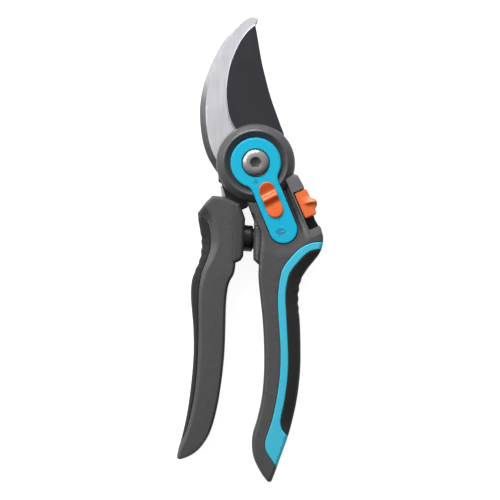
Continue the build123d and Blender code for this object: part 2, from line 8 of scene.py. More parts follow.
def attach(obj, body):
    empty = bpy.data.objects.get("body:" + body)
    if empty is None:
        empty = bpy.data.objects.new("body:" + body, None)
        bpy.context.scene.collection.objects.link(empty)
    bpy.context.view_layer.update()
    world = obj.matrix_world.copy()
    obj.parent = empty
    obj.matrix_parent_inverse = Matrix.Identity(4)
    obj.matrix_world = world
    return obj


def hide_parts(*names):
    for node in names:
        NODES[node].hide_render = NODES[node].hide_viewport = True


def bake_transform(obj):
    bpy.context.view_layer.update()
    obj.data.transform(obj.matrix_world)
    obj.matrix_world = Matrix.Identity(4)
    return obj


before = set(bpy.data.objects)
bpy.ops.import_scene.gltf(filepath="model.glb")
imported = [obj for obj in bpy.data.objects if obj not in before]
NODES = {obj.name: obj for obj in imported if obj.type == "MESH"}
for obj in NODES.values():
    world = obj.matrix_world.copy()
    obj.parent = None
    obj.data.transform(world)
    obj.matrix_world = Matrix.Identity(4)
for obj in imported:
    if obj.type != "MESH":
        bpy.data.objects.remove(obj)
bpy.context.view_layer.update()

MM = 0.001

# ------------------------------------------------------------------ plane geometry (millimetres)
U_ARM = np.array([0.383, -0.924]); U_ARM /= np.linalg.norm(U_ARM)
V_ARM = np.array([-U_ARM[1], U_ARM[0]])
U_LOCK = np.array([0.397, -0.918]); U_LOCK /= np.linalg.norm(U_LOCK)
V_LOCK = np.array([-U_LOCK[1], U_LOCK[0]])
LOCK_AT = np.array([17.39, -13.85])


def arm(s, t):
    return tuple(U_ARM * s + V_ARM * t)


def lockp(s, t):
    return tuple(LOCK_AT + U_LOCK * s + V_LOCK * t)


def smooth_curve(pts, step=0.5):
    """Centripetal Catmull-Rom through pts, resampled evenly."""
    p = np.array(pts, float)
    p = np.vstack([2 * p[0] - p[1], p, 2 * p[-1] - p[-2]])
    out = []
    for i in range(1, len(p) - 2):
        p0, p1, p2, p3 = p[i - 1], p[i], p[i + 1], p[i + 2]
        t0 = 0.0
        t1 = t0 + max(np.linalg.norm(p1 - p0), 1e-6) ** 0.5
        t2 = t1 + max(np.linalg.norm(p2 - p1), 1e-6) ** 0.5
        t3 = t2 + max(np.linalg.norm(p3 - p2), 1e-6) ** 0.5
        for t in np.linspace(t1, t2, 14, endpoint=False):
            a1 = (t1 - t) / (t1 - t0) * p0 + (t - t0) / (t1 - t0) * p1
            a2 = (t2 - t) / (t2 - t1) * p1 + (t - t1) / (t2 - t1) * p2
            a3 = (t3 - t) / (t3 - t2) * p2 + (t - t2) / (t3 - t2) * p3
            b1 = (t2 - t) / (t2 - t0) * a1 + (t - t0) / (t2 - t0) * a2
            b2 = (t3 - t) / (t3 - t1) * a2 + (t - t1) / (t3 - t1) * a3
            out.append((t2 - t) / (t2 - t1) * b1 + (t - t1) / (t2 - t1) * b2)
    out.append(p[-2])
    return resample(np.array(out), step)


def resample(q, step):
    q = np.array(q, float)
    d = np.r_[0, np.cumsum(np.linalg.norm(np.diff(q, axis=0), axis=1))]
    n = max(2, int(round(d[-1] / step)) + 1)
    s = np.linspace(0, d[-1], n)
    return np.c_[np.interp(s, d, q[:, 0]), np.interp(s, d, q[:, 1])]


def dense(pts, step=0.5):
    """Straight runs through pts, each divided to step, corners kept."""
    out = []
    for a, b in zip(pts[:-1], pts[1:]):
        out.append(resample([a, b], step)[:-1])
    out.append(np.array([pts[-1]], float))
    return np.vstack(out)


def chain(*runs):
    """Joins runs of points into one closed outline, dropping doubled points."""
    pts = []
    for r in runs:
        for q in np.array(r, float):
            if not pts or np.hypot(*(q - pts[-1])) > 0.02:
                pts.append(q)
    if np.hypot(*(pts[0] - pts[-1])) < 0.02:
        pts.pop()
    return np.array(pts)


def arc(c, r, a0, a1, step=0.5):
    n = max(3, int(abs(math.radians(a1 - a0)) * r / step) + 1)
    a = np.radians(np.linspace(a0, a1, n))
    return np.c_[c[0] + r * np.cos(a), c[1] + r * np.sin(a)]


def crossing(a, b):
    """First place where polyline a meets polyline b: (point, index in a, index in b)."""
    for i in range(len(a) - 1):
        p, r = a[i], a[i + 1] - a[i]
        q, s = b[:-1], b[1:] - b[:-1]
        den = r[0] * s[:, 1] - r[1] * s[:, 0]
        den = np.where(np.abs(den) < 1e-12, 1e-12, den)
        w = q - p
        t = (w[:, 0] * s[:, 1] - w[:, 1] * s[:, 0]) / den
        u = (w[:, 0] * r[1] - w[:, 1] * r[0]) / den
        hit = np.where((t >= 0) & (t <= 1) & (u >= 0) & (u <= 1))[0]
        if len(hit):
            j = hit[np.argmin(t[hit])]
            return p + r * t[j], i, int(j)
    raise ValueError("the two lines do not meet")


def near(P, q, closed=False):
    """Distance to a polyline, and the side: positive on the left of its direction."""
    q = np.vstack([q, q[:1]]) if closed else np.array(q, float)
    a, d = q[:-1], q[1:] - q[:-1]
    L2 = np.maximum((d ** 2).sum(1), 1e-12)
    dist = np.empty(len(P)); side = np.empty(len(P))
    for k in range(0, len(P), 2000):
        w = P[k:k + 2000, None, :] - a[None]
        t = np.clip((w * d[None]).sum(2) / L2, 0, 1)
        v = w - t[..., None] * d[None]
        e = (v ** 2).sum(2)
        j = e.argmin(1); i = np.arange(len(j))
        dist[k:k + 2000] = np.sqrt(e[i, j])
        side[k:k + 2000] = np.sign(d[j, 0] * w[i, j, 1] - d[j, 1] * w[i, j, 0])
    return dist, side


def inside(P, poly):
    x, y = P[:, 0], P[:, 1]
    r = np.zeros(len(P), bool)
    a = poly; b = np.roll(poly, -1, axis=0)
    for (x0, y0), (x1, y1) in zip(a, b):
        c = ((y0 > y) != (y1 > y))
        if c.any():
            xi = (x1 - x0) * (y - y0) / ((y1 - y0) if y1 != y0 else 1e-12) + x0
            r ^= c & (x < xi)
    return r


def rnd(d, r):
    """How far a face has dropped at distance d from an edge of rounding r."""
    t = np.clip(1 - d / r, 0, 1)
    return r * (1 - np.sqrt(np.maximum(0, 1 - t * t)))


def edge_drop(d, c=1.15, slope=1.0, r=0.4):
    """A flat chamfer of width c with its outer corner rounded by r and its inner one eased."""
    k = 0.10
    e = np.maximum(0, c - d)
    soft = np.where(np.abs(c - d) < k, (c - d + k) ** 2 / (4 * k), e)
    return slope * soft + rnd(d, r)


def sstep(x, a, b):
    t = np.clip((x - a) / (b - a), 0, 1)
    return t * t * (3 - 2 * t)


def smax(a, b, k):
    h = np.clip(0.5 + 0.5 * (a - b) / k, 0, 1)
    return b * (1 - h) + a * h + k * h * (1 - h)


def smin(a, b, k):
    return -smax(-a, -b, k)


# ------------------------------------------------------------------ mesh makers
def new_object(name, verts, faces, mats, face_mat=None, angle=38.0):
    me = bpy.data.meshes.new(name)
    me.from_pydata([tuple(v) for v in verts], [], [tuple(f) for f in faces])
    for m in mats:
        me.materials.append(m)
    if face_mat is not None:
        me.polygons.foreach_set("material_index", np.array(face_mat, np.int32))
    me.polygons.foreach_set("use_smooth", np.ones(len(me.polygons), bool))
    me.validate()
    me.update()
    me.set_sharp_from_angle(angle=math.radians(angle))
    ob = bpy.data.objects.new(name, me)
    bpy.context.scene.collection.objects.link(ob)
    return ob


def place(ob, body, nodes):
    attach(ob, body)
    if nodes:
        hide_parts(*nodes)
    return ob


def relief(name, outline, front, back, mats, holes=(), grid=1.2, edge=0.55,
           offsets=(0.07, 0.2, 0.4, 0.7, 1.1, 1.6, 2.3), extra=None, wall=4, matfn=None, wave=None, angle=38.0,
           creases=()):
    """A closed solid over an outline, with its front and back height given at every point."""
    loops = [np.array(outline, float)] + [np.array(h, float) for h in holes]
    loops = [dense(list(l) + [l[0]], edge)[:-1] for l in loops]
    area = 0.5 * np.sum(loops[0][:, 0] * np.roll(loops[0][:, 1], -1) - loops[0][:, 1] * np.roll(loops[0][:, 0], -1))
    if area < 0:
        loops[0] = loops[0][::-1]
    for k in range(1, len(loops)):
        l = loops[k]
        a = 0.5 * np.sum(l[:, 0] * np.roll(l[:, 1], -1) - l[:, 1] * np.roll(l[:, 0], -1))
        if a > 0:
            loops[k] = l[::-1]

    def ok(P):
        r = inside(P, loops[0])
        for h in loops[1:]:
            r &= ~inside(P, h)
        return r

    def dist(P):
        d = near(P, loops[0], True)[0]
        for h in loops[1:]:
            d = np.minimum(d, near(P, h, True)[0])
        return d

    pts, edges = [], []
    for l in loops:
        k0 = sum(len(p) for p in pts)
        pts.append(l)
        edges += [(k0 + i, k0 + (i + 1) % len(l)) for i in range(len(l))]
    crease_pts = []
    for q in creases:
        q = dense(list(q), edge)
        t = np.gradient(q, axis=0)
        t /= np.maximum(np.linalg.norm(t, axis=1, keepdims=True), 1e-9)
        for o in (0.04, -0.04):
            k0 = sum(len(p) for p in pts)
            w = q + np.c_[-t[:, 1], t[:, 0]] * o
            pts.append(w)
            crease_pts.append(w)
            edges += [(k0 + i, k0 + i + 1) for i in range(len(w) - 1)]
    n_fixed = len(pts)
    for j, o in enumerate(offsets):
        stride = 1 if o < 1.0 else 2
        for l in loops:
            t = np.roll(l, -1, axis=0) - np.roll(l, 1, axis=0)
            t /= np.maximum(np.linalg.norm(t, axis=1, keepdims=True), 1e-9)
            q = (l + np.c_[-t[:, 1], t[:, 0]] * o)[::stride]
            d = dist(q)
            q = q[ok(q) & (d > 0.9 * o)]
            pts.append(q)
    lo, hi = loops[0].min(0), loops[0].max(0)
    gx, gy = np.meshgrid(np.arange(lo[0], hi[0], grid), np.arange(lo[1], hi[1], grid * 0.866))
    gx[1::2] += grid / 2
    g = np.c_[gx.ravel(), gy.ravel()]
    g = g[ok(g)]
    g = g[dist(g) > offsets[-1] + 0.4 * grid]
    if extra is not None and len(extra):
        e = np.array(extra, float)
        e = e[ok(e)]
        e = e[dist(e) > 0.12]
        if len(g):
            g = g[near_points(g, e) > 0.45 * grid]
        for i in range(n_fixed, len(pts)):
            pts[i] = pts[i][near_points(pts[i], e) > 0.1] if len(pts[i]) else pts[i]
        if crease_pts:
            e = e[near_points(e, np.vstack(crease_pts)) > 0.15]
        pts.append(e)
    if crease_pts:
        cp = np.vstack(crease_pts)
        for i in range(n_fixed, len(pts)):
            pts[i] = pts[i][near_points(pts[i], cp) > 0.12] if len(pts[i]) else pts[i]
        g = g[near_points(g, cp) > 0.4] if len(g) else g
    pts.append(g)
    P = np.vstack(pts)
    res = delaunay_2d_cdt([Vector(p) for p in P], edges, [], 0, 1e-5)
    V = np.array([v[:] for v in res[0]])
    T = np.array([f for f in res[2]])
    c = V[T].mean(1)
    T = T[ok(c)]
    a = V[T]
    ar = (a[:, 1, 0] - a[:, 0, 0]) * (a[:, 2, 1] - a[:, 0, 1]) - (a[:, 1, 1] - a[:, 0, 1]) * (a[:, 2, 0] - a[:, 0, 0])
    T = np.where(ar[:, None] < 0, T[:, ::-1], T)
    T = T[np.abs(ar) > 1e-9]
    used = np.unique(T)
    remap = -np.ones(len(V), int); remap[used] = np.arange(len(used))
    V, T = V[used], remap[T]
    zf = front(V); zb = back(V)
    zf = np.maximum(zf, zb + 0.02)
    n = len(V)
    # outline edges, each used by one triangle only
    E = np.vstack([T[:, [0, 1]], T[:, [1, 2]], T[:, [2, 0]]])
    key = np.sort(E, axis=1)
    u, inv, cnt = np.unique(key, axis=0, return_inverse=True, return_counts=True)
    inv = inv.ravel()
    B = E[cnt[inv] == 1]
    bverts = np.unique(B)
    bidx = {int(b): i for i, b in enumerate(bverts)}
    verts = [np.c_[V, zf], np.c_[V, zb]]
    rings = []
    base = 2 * n
    for k in range(1, wall):
        f = k / wall
        z = zf[bverts] * (1 - f) + zb[bverts] * f
        xy = V[bverts].copy()
        if wave is not None:
            xy = wave(xy, z)
        verts.append(np.c_[xy, z])
        rings.append(base); base += len(bverts)
    verts = np.vstack(verts) * MM
    faces = [tuple(t) for t in T] + [tuple(n + t[::-1]) for t in T]
    nf = len(T)
    for i, j in B:
        a, b = bidx[int(i)], bidx[int(j)]
        col_a = [int(i)] + [r + a for r in rings] + [n + int(i)]
        col_b = [int(j)] + [r + b for r in rings] + [n + int(j)]
        for k in range(len(col_a) - 1):
            faces.append((col_a[k], col_a[k + 1], col_b[k + 1], col_b[k]))
    fm = None
    if matfn is not None:
        c = V[T].mean(1)
        mi = matfn(c)
        cb = (V[B[:, 0]] + V[B[:, 1]]) / 2
        mw = np.repeat(matfn(cb), wall)
        fm = np.r_[mi, mi, mw]
    return new_object(name, verts, faces, mats, fm, angle)


def near_points(P, Q):
    out = np.full(len(P), 1e9)
    for k in range(0, len(P), 2000):
        d = np.sqrt(((P[k:k + 2000, None] - Q[None]) ** 2).sum(2)).min(1)
        out[k:k + 2000] = d
    return out


def lathe(name, prof, mats, n=96, centre=(0, 0), angle=38.0, shape=None, fm=None):
    """Turned solid about the pivot axis: prof is a list of (r, z), closed from axis to axis."""
    verts, faces, fmat = [], [], []
    idx = []
    for k, (r, z) in enumerate(prof):
        if r < 1e-6:
            idx.append([len(verts)]); verts.append((centre[0], centre[1], z)); continue
        row = []
        for i in range(n):
            a = 2 * math.pi * i / n
            rr = r if shape is None else shape(k, r, a)
            row.append(len(verts)); verts.append((centre[0] + rr * math.cos(a), centre[1] + rr * math.sin(a), z))
        idx.append(row)
    for k in range(len(idx) - 1):
        p, q = idx[k], idx[k + 1]
        for i in range(n):
            j = (i + 1) % n
            if len(p) == 1 and len(q) == 1:
                continue
            if len(p) == 1:
                faces.append((p[0], q[j], q[i]))
            elif len(q) == 1:
                faces.append((p[i], p[j], q[0]))
            else:
                faces.append((p[i], p[j], q[j], q[i]))
            fmat.append(fm[k] if fm else 0)
    if len(idx[0]) > 1 and len(idx[-1]) > 1:          # a ring: close it onto itself
        p, q = idx[-1], idx[0]
        for i in range(n):
            j = (i + 1) % n
            faces.append((p[i], p[j], q[j], q[i])); fmat.append(0)
    v = np.array(verts) * MM
    ob = new_object(name, v, faces, mats, fmat, angle)
    fix_normals(ob)
    return ob


def fix_normals(ob):
    import bmesh
    bm = bmesh.new(); bm.from_mesh(ob.data)
    bmesh.ops.recalc_face_normals(bm, faces=bm.faces)
    bm.to_mesh(ob.data); bm.free()
    ob.data.update()


def swept(name, path, radius, mats, n=20, cap=True, angle=40.0):
    """Round tube along path (list of Vector, mm); radius a number or one per point."""
    P = [Vector(p) for p in path]
    rad = radius if hasattr(radius, "__len__") else [radius] * len(P)
    T = [(P[min(i + 1, len(P) - 1)] - P[max(i - 1, 0)]).normalized() for i in range(len(P))]
    up = Vector((0, 0, 1)) if abs(T[0].z) < 0.9 else Vector((1, 0, 0))
    nrm = T[0].cross(up).normalized()
    verts, faces, rows = [], [], []
    for i, p in enumerate(P):
        nrm = (nrm - T[i] * nrm.dot(T[i])).normalized()
        b = T[i].cross(nrm)
        rows.append(len(verts))
        for k in range(n):
            a = 2 * math.pi * k / n
            verts.append(p + (nrm * math.cos(a) + b * math.sin(a)) * rad[i])
    for i in range(len(P) - 1):
        for k in range(n):
            j = (k + 1) % n
            faces.append((rows[i] + k, rows[i] + j, rows[i + 1] + j, rows[i + 1] + k))
    if cap:
        faces.append(tuple(rows[0] + k for k in range(n))[::-1])
        faces.append(tuple(rows[-1] + k for k in range(n)))
    ob = new_object(name, np.array([v[:] for v in verts]) * MM, faces, mats, None, angle)
    fix_normals(ob)
    return ob


# ------------------------------------------------------------------ materials
def mat_new(name):
    m = bpy.data.materials.new(name)
    m.use_nodes = True
    nt = m.node_tree
    return m, nt, nt.nodes["Principled BSDF"]


def coords(nt, scale=(1, 1, 1), rot=(0, 0, 0)):
    tc = nt.nodes.new("ShaderNodeTexCoord")
    mp = nt.nodes.new("ShaderNodeMapping")
    mp.inputs["Scale"].default_value = scale
    mp.inputs["Rotation"].default_value = rot
    nt.links.new(tc.outputs["Object"], mp.inputs["Vector"])
    return mp.outputs["Vector"]


def noise(nt, vec, scale, detail=4.0, rough=0.55):
    n = nt.nodes.new("ShaderNodeTexNoise")
    n.inputs["Scale"].default_value = scale
    n.inputs["Detail"].default_value = detail
    n.inputs["Roughness"].default_value = rough
    nt.links.new(vec, n.inputs["Vector"])
    return n.outputs["Fac"]


def ramp(nt, fac, stops):
    r = nt.nodes.new("ShaderNodeValToRGB")
    el = r.color_ramp.elements
    while len(el) < len(stops):
        el.new(0.5)
    for e, (p, c) in zip(el, stops):
        e.position = p
        e.color = (*c, 1) if len(c) == 3 else c
    nt.links.new(fac, r.inputs["Fac"])
    return r.outputs["Color"]


def bumped(nt, bsdf, heights):
    """heights: list of (socket, strength, distance in metres), chained."""
    prev = None
    for h, strength, dist in heights:
        b = nt.nodes.new("ShaderNodeBump")
        b.inputs["Strength"].default_value = strength
        b.inputs["Distance"].default_value = dist
        nt.links.new(h, b.inputs["Height"])
        if prev is not None:
            nt.links.new(prev, b.inputs["Normal"])
        prev = b.outputs["Normal"]
    nt.links.new(prev, bsdf.inputs["Normal"])


def plastic(name, color, rough=0.45, grain=900.0, grain_h=0.000012, vary=0.17, spec=0.5, painted_edge_highlight=0.0, coat=0.0):
    """Moulded plastic: fine spark-eroded grain, slight cloudiness, and a painted highlight that lightens convex edges
    in noise-broken patches.
    """
    m, nt, b = mat_new(name)
    v = coords(nt)
    cloud = noise(nt, v, 420.0, 6.0, 0.75)
    fine = noise(nt, v, grain, 2.0, 0.6)
    c = np.array(color)
    lo_c, hi_c = tuple(c * (1 - vary)), tuple(np.minimum(1, c * (1 + vary)))
    col = ramp(nt, cloud, [(0.3, lo_c), (0.7, hi_c)])
    # Painted highlight: convex edges found by Pointiness are mixed towards a lighter grey, broken up by noise.
    if painted_edge_highlight > 0:
        geo = nt.nodes.new("ShaderNodeNewGeometry")
        edge = ramp(nt, geo.outputs["Pointiness"], [(0.50, (0, 0, 0)), (0.60, (1, 1, 1))])
        highlight_patches = ramp(nt, noise(nt, coords(nt), 260.0, 5.0, 0.7), [(0.45, (0, 0, 0)), (0.75, (1, 1, 1))])
        mul = nt.nodes.new("ShaderNodeMix"); mul.data_type = "RGBA"; mul.blend_type = "MULTIPLY"
        mul.inputs["Factor"].default_value = 1.0
        nt.links.new(edge, mul.inputs[6]); nt.links.new(highlight_patches, mul.inputs[7])
        mix = nt.nodes.new("ShaderNodeMix"); mix.data_type = "RGBA"
        sc = nt.nodes.new("ShaderNodeMath"); sc.operation = "MULTIPLY"; sc.inputs[1].default_value = painted_edge_highlight
        nt.links.new(mul.outputs[2], sc.inputs[0])
        nt.links.new(sc.outputs[0], mix.inputs["Factor"])
        nt.links.new(col, mix.inputs[6])
        mix.inputs[7].default_value = (*tuple(np.minimum(1, c * 1.9 + 0.03)), 1)
        col = mix.outputs[2]
    nt.links.new(col, b.inputs["Base Color"])
    rr = ramp(nt, fine, [(0.3, (rough - 0.05,) * 3), (0.7, (rough + 0.07,) * 3)])
    nt.links.new(rr, b.inputs["Roughness"])
    b.inputs["Specular IOR Level"].default_value = spec
    b.inputs["Coat Weight"].default_value = coat
    b.inputs["Coat Roughness"].default_value = 0.25
    bumped(nt, b, [(fine, 0.55, grain_h)])
    return m


def rubber(name, color, rough=0.7, pebble=1500.0):
    """Soft grip moulding: fine pebble, matt, a little sheen."""
    m, nt, b = mat_new(name)
    v = coords(nt)
    cloud = noise(nt, v, 40.0, 3.0)
    vor = nt.nodes.new("ShaderNodeTexVoronoi"); vor.feature = "SMOOTH_F1"
    vor.inputs["Scale"].default_value = pebble
    nt.links.new(v, vor.inputs["Vector"])
    c = np.array(color)
    nt.links.new(ramp(nt, cloud, [(0.3, tuple(c * 0.85)), (0.7, tuple(c * 1.15))]), b.inputs["Base Color"])
    fine = noise(nt, v, 700.0, 3.0)
    nt.links.new(ramp(nt, fine, [(0.3, (rough - 0.06,) * 3), (0.7, (rough + 0.08,) * 3)]), b.inputs["Roughness"])
    b.inputs["Specular IOR Level"].default_value = 0.24
    b.inputs["Sheen Weight"].default_value = 0.05
    b.inputs["Sheen Roughness"].default_value = 0.5
    bumped(nt, b, [(vor.outputs["Distance"], 0.35, 0.00004), (fine, 0.4, 0.00002)])
    return m


def steel(name, color, rough=0.3, streak=(900, 40, 900), rot=0.0, streak_h=0.000006, vary=0.12, aniso=0.0):
    """Ground steel with fine directional grinding lines and faint handling marks."""
    m, nt, b = mat_new(name)
    v = coords(nt, streak, (0, 0, rot))
    lines = noise(nt, v, 1.0, 5.0, 0.65)
    smudge = noise(nt, coords(nt), 90.0, 4.0)
    c = np.array(color)
    nt.links.new(ramp(nt, lines, [(0.25, tuple(c * (1 - vary))), (0.75, tuple(np.minimum(1, c * (1 + vary))))]),
                 b.inputs["Base Color"])
    b.inputs["Metallic"].default_value = 1.0
    mixr = nt.nodes.new("ShaderNodeMath"); mixr.operation = "ADD"
    r1 = ramp(nt, lines, [(0.2, (rough - 0.06,) * 3), (0.8, (rough + 0.06,) * 3)])
    r2 = ramp(nt, smudge, [(0.35, (0.0,) * 3), (0.75, (0.09,) * 3)])
    nt.links.new(r1, mixr.inputs[0]); nt.links.new(r2, mixr.inputs[1])
    nt.links.new(mixr.outputs[0], b.inputs["Roughness"])
    if aniso:
        b.inputs["Anisotropic"].default_value = aniso
    bumped(nt, b, [(lines, 0.4, streak_h)])
    return m


def coated(name, color, rough=0.42):
    """Low-friction coat on the blade: dark, slightly orange-peeled, faintly rubbed."""
    m, nt, b = mat_new(name)
    v = coords(nt)
    cloud = noise(nt, v, 70.0, 4.0)
    fine = noise(nt, v, 1400.0, 2.0)
    rub = noise(nt, coords(nt, (500, 30, 500), (0, 0, 0.25)), 1.0, 4.0)
    c = np.array(color)
    nt.links.new(ramp(nt, cloud, [(0.3, tuple(c * 0.88)), (0.7, tuple(c * 1.14))]), b.inputs["Base Color"])
    nt.links.new(ramp(nt, rub, [(0.3, (rough - 0.05,) * 3), (0.75, (rough + 0.08,) * 3)]), b.inputs["Roughness"])
    b.inputs["Specular IOR Level"].default_value = 0.24
    bumped(nt, b, [(fine, 0.35, 0.000012), (cloud, 0.1, 0.00004)])
    return m


GREY = (0.035, 0.035, 0.0365)
M_body = plastic("moulded_grey", GREY, 0.47, painted_edge_highlight=0.30)
M_body_l = plastic("moulded_grey_left", (0.035, 0.035, 0.037), 0.47, painted_edge_highlight=0.30)
M_flank = plastic("moulded_grey_flank", (0.014, 0.014, 0.015), 0.5, painted_edge_highlight=0.15)
M_ring = plastic("moulded_grey_ring", (0.036, 0.036, 0.038), 0.36, painted_edge_highlight=0.25)
M_rail = plastic("rail_grey", (0.080, 0.080, 0.084), 0.42, painted_edge_highlight=0.25)
# Darker grey for the floor of the lock slot: painted shade in the recess.
M_slot_painted_shade = plastic("track_grey_painted_shade", (0.022, 0.022, 0.024), 0.55, spec=0.3)
M_insert = rubber("soft_black", (0.009, 0.009, 0.0095))
M_insert_l = rubber("soft_dark", (0.008, 0.008, 0.0085))
M_stripe = plastic("soft_turquoise", (0.034, 0.335, 0.46), 0.5, grain=1100.0, vary=0.04, spec=0.25)
M_plate = plastic("plate_turquoise", (0.002, 0.295, 0.44), 0.38, grain=1300.0, vary=0.04, spec=0.22)
M_mark = plastic("mark_turquoise", (0.003, 0.155, 0.29), 0.45, grain=1300.0, vary=0.04)
M_orange = plastic("lock_orange", (0.56, 0.105, 0.024), 0.4, grain=1200.0, vary=0.05, spec=0.35)
M_orange2 = plastic("selector_orange", (0.54, 0.082, 0.010), 0.34, grain=1200.0, vary=0.05, spec=0.45)
M_black = plastic("spring_cover_black", (0.005, 0.005, 0.0055), 0.34, grain=1200.0, vary=0.08, spec=0.18)
M_coat = coated("blade_coat", (0.0125, 0.012, 0.0155), 0.5)
M_blade = steel("ground_steel", (0.54, 0.54, 0.57), 0.38, (900, 60, 600), rot=0.12, streak_h=0.000003, vary=0.045)
# Counter-blade bevel: a darker copy of the blade steel, which is painted shade on the bevel band; it gets a painted
# highlight towards the tip below.
M_bevel_painted_light = steel("bevel_steel_painted_shade_highlight", (0.115, 0.115, 0.12), 0.36, (700, 60, 700), vary=0.06)


def paint_highlight_along_y(m, y0, y1, low, high):
    """Painted highlight: the base colour is blended along the blade, lighter towards the tip, standing in for the light
    the ground bevel catches there.
    """
    nt = m.node_tree
    b = next(n for n in nt.nodes if n.type == "BSDF_PRINCIPLED")
    sep = nt.nodes.new("ShaderNodeSeparateXYZ")
    nt.links.new(coords(nt), sep.inputs[0])
    mr = nt.nodes.new("ShaderNodeMapRange")
    mr.inputs["From Min"].default_value = y0
    mr.inputs["From Max"].default_value = y1
    nt.links.new(sep.outputs["Y"], mr.inputs["Value"])
    nt.links.new(ramp(nt, mr.outputs["Result"], [(0.0, low), (1.0, high)]), b.inputs["Base Color"])


paint_highlight_along_y(M_bevel_painted_light, 0.029, 0.041, (0.105, 0.105, 0.11), (0.21, 0.21, 0.22))
M_edge = steel("cutting_edge_steel", (0.52, 0.52, 0.54), 0.3, (500, 60, 500), vary=0.05)
M_bolt = steel("bolt_steel", (0.29, 0.28, 0.28), 0.24, (300, 300, 300))
# Darker steel inside the hex socket: painted shade in the recess.
M_socket_painted_shade = steel("socket_steel_painted_shade", (0.10, 0.10, 0.10), 0.45, (300, 300, 300))
M_small = steel("small_steel", (0.5, 0.5, 0.5), 0.35, (300, 300, 300))
M_alloy = steel("cast_alloy", (0.56, 0.56, 0.58), 0.5, (260, 260, 260), streak_h=0.00002)
M_spring = steel("spring_wire", (0.4, 0.4, 0.42), 0.3, (300, 300, 300))
M_zinc = steel("dark_zinc", (0.2, 0.2, 0.21), 0.4, (300, 300, 300))

# ------------------------------------------------------------------ camera, light, floor
scene = bpy.context.scene
scene.view_settings.view_transform = "Standard"
cam = bpy.data.cameras.new("cam")
cam_ob = bpy.data.objects.new("cam", cam)
scene.collection.objects.link(cam_ob)
cam.lens, cam.sensor_width = 150.0, 36.0
WIDE = 500 * 0.46 * MM
cam_ob.location = (-2.62 * MM, -39.84 * MM, WIDE * 150.0 / 36.0 + 12 * MM)
cam_ob.rotation_euler = (0, 0, 0)
cam.clip_start, cam.clip_end = 0.01, 20
scene.camera = cam_ob

world = bpy.data.worlds.new("world")
scene.world = world
world.use_nodes = True
wn = world.node_tree
bg = wn.nodes["Background"]
tcw = wn.nodes.new("ShaderNodeTexCoord")
dot = wn.nodes.new("ShaderNodeVectorMath"); dot.operation = "DOT_PRODUCT"
dot.inputs[1].default_value = (-0.35, 0.90, 0.26)
wn.links.new(tcw.outputs["Generated"], dot.inputs[0])
mr = wn.nodes.new("ShaderNodeMapRange")
mr.interpolation_type = "SMOOTHSTEP"
mr.inputs["From Min"].default_value = -0.75
mr.inputs["From Max"].default_value = 1.0
mr.inputs["To Min"].default_value = 0.03
mr.inputs["To Max"].default_value = 1.25
wn.links.new(dot.outputs["Value"], mr.inputs["Value"])
wn.links.new(mr.outputs["Result"], bg.inputs["Strength"])
bg.inputs["Color"].default_value = (1.0, 1.0, 1.0, 1)


def area_light(name, loc, target, size, power, color=(1, 1, 1)):
    l = bpy.data.lights.new(name, "AREA")
    l.shape = "RECTANGLE"; l.size, l.size_y = size
    l.energy = power; l.color = color
    o = bpy.data.objects.new(name, l)
    scene.collection.objects.link(o)
    o.location = loc
    o.rotation_mode = "QUATERNION"
    o.rotation_quaternion = (Vector(target) - Vector(loc)).to_track_quat("-Z", "Y")
    return o


area_light("key_top", (-0.16, 0.56, 0.38), (0, -0.02, 0), (0.5, 0.22), 7.2)
area_light("top_left", (-0.60, 0.25, 0.45), (0, -0.03, 0), (0.3, 0.6), 2.2)

fm, fnt, fb = mat_new("studio_floor")
fb.inputs["Base Color"].default_value = (0.30, 0.30, 0.30, 1)
fb.inputs["Emission Color"].default_value = (1.0, 1.0, 1.0, 1)
fb.inputs["Emission Strength"].default_value = 0.9
fb.inputs["Roughness"].default_value = 0.9
fb.inputs["Specular IOR Level"].default_value = 0.1
fme = bpy.data.meshes.new("floor")
R = 3.0
fme.from_pydata([(-R, -R, -0.0002), (R, -R, -0.0002), (R, R, -0.0002), (-R, R, -0.0002)], [], [(0, 1, 2, 3)])
fme.materials.append(fm)
floor = bpy.data.objects.new("floor", fme)
scene.collection.objects.link(floor)

# ------------------------------------------------------------------ outlines
CUT_EDGE = [(-0.51, 64.22), (-2.35, 62.93), (-4.37, 60.9), (-6.39, 58.33), (-8.56, 54.74), (-10.72, 50.05),
            (-12.33, 45.45), (-13.34, 40.76), (-13.94, 36.06), (-14.08, 31.46), (-13.66, 26.73), (-12.79, 22.03),
            (-11.18, 18.03), (-8.83, 14.54)]
BLADE_BACK = [(-0.37, 64.31), (0.32, 61.36), (1.2, 56.07), (2.12, 50.55), (3.17, 45.03), (4.51, 39.51),
              (5.98, 33.76), (7.73, 28.01), (9.8, 22.26), (11.45, 17.66), (13.2, 13.06)]
CUT_TANG = [(-14.2, -0.6), (-17.3, -3.5), (-17.1, -8.4), (-15.8, -9.3), (-13.9, -15.2), (-19.4, -17.2),
            (-19.3, -19.6), (-16.6, -22.0), (-13.2, -24.3), (-9.8, -25.9), (-7.6, -26.4), (-6.9, -21.6),
            (-3.9, -20.3), (-3.3, -19.3), (-4.2, -14.2)]
HOOK_OUT = [(0.41, 67.34), (-1.43, 67.85), (-3.77, 67.07), (-6.99, 64.77), (-10.67, 61.27), (-14.58, 56.76),
            (-18.08, 51.01), (-21.21, 44.34), (-23.51, 38.36), (-24.89, 32.84), (-25.67, 27.32), (-25.76, 21.34),
            (-25.3, 15.36), (-24.06, 8.69), (-22.13, 3.17), (-19.55, -1.43), (-17.11, -4.88)]
HOOK_IN = [(1.15, 66.15), (0.14, 63.94), (-1.61, 60.67), (-4.09, 56.53), (-6.3, 51.7), (-8.05, 46.64),
           (-9.34, 41.12), (-10.07, 35.6), (-10.17, 30.54), (-9.61, 25.48), (-8.33, 20.42), (-6.07, 15.82)]
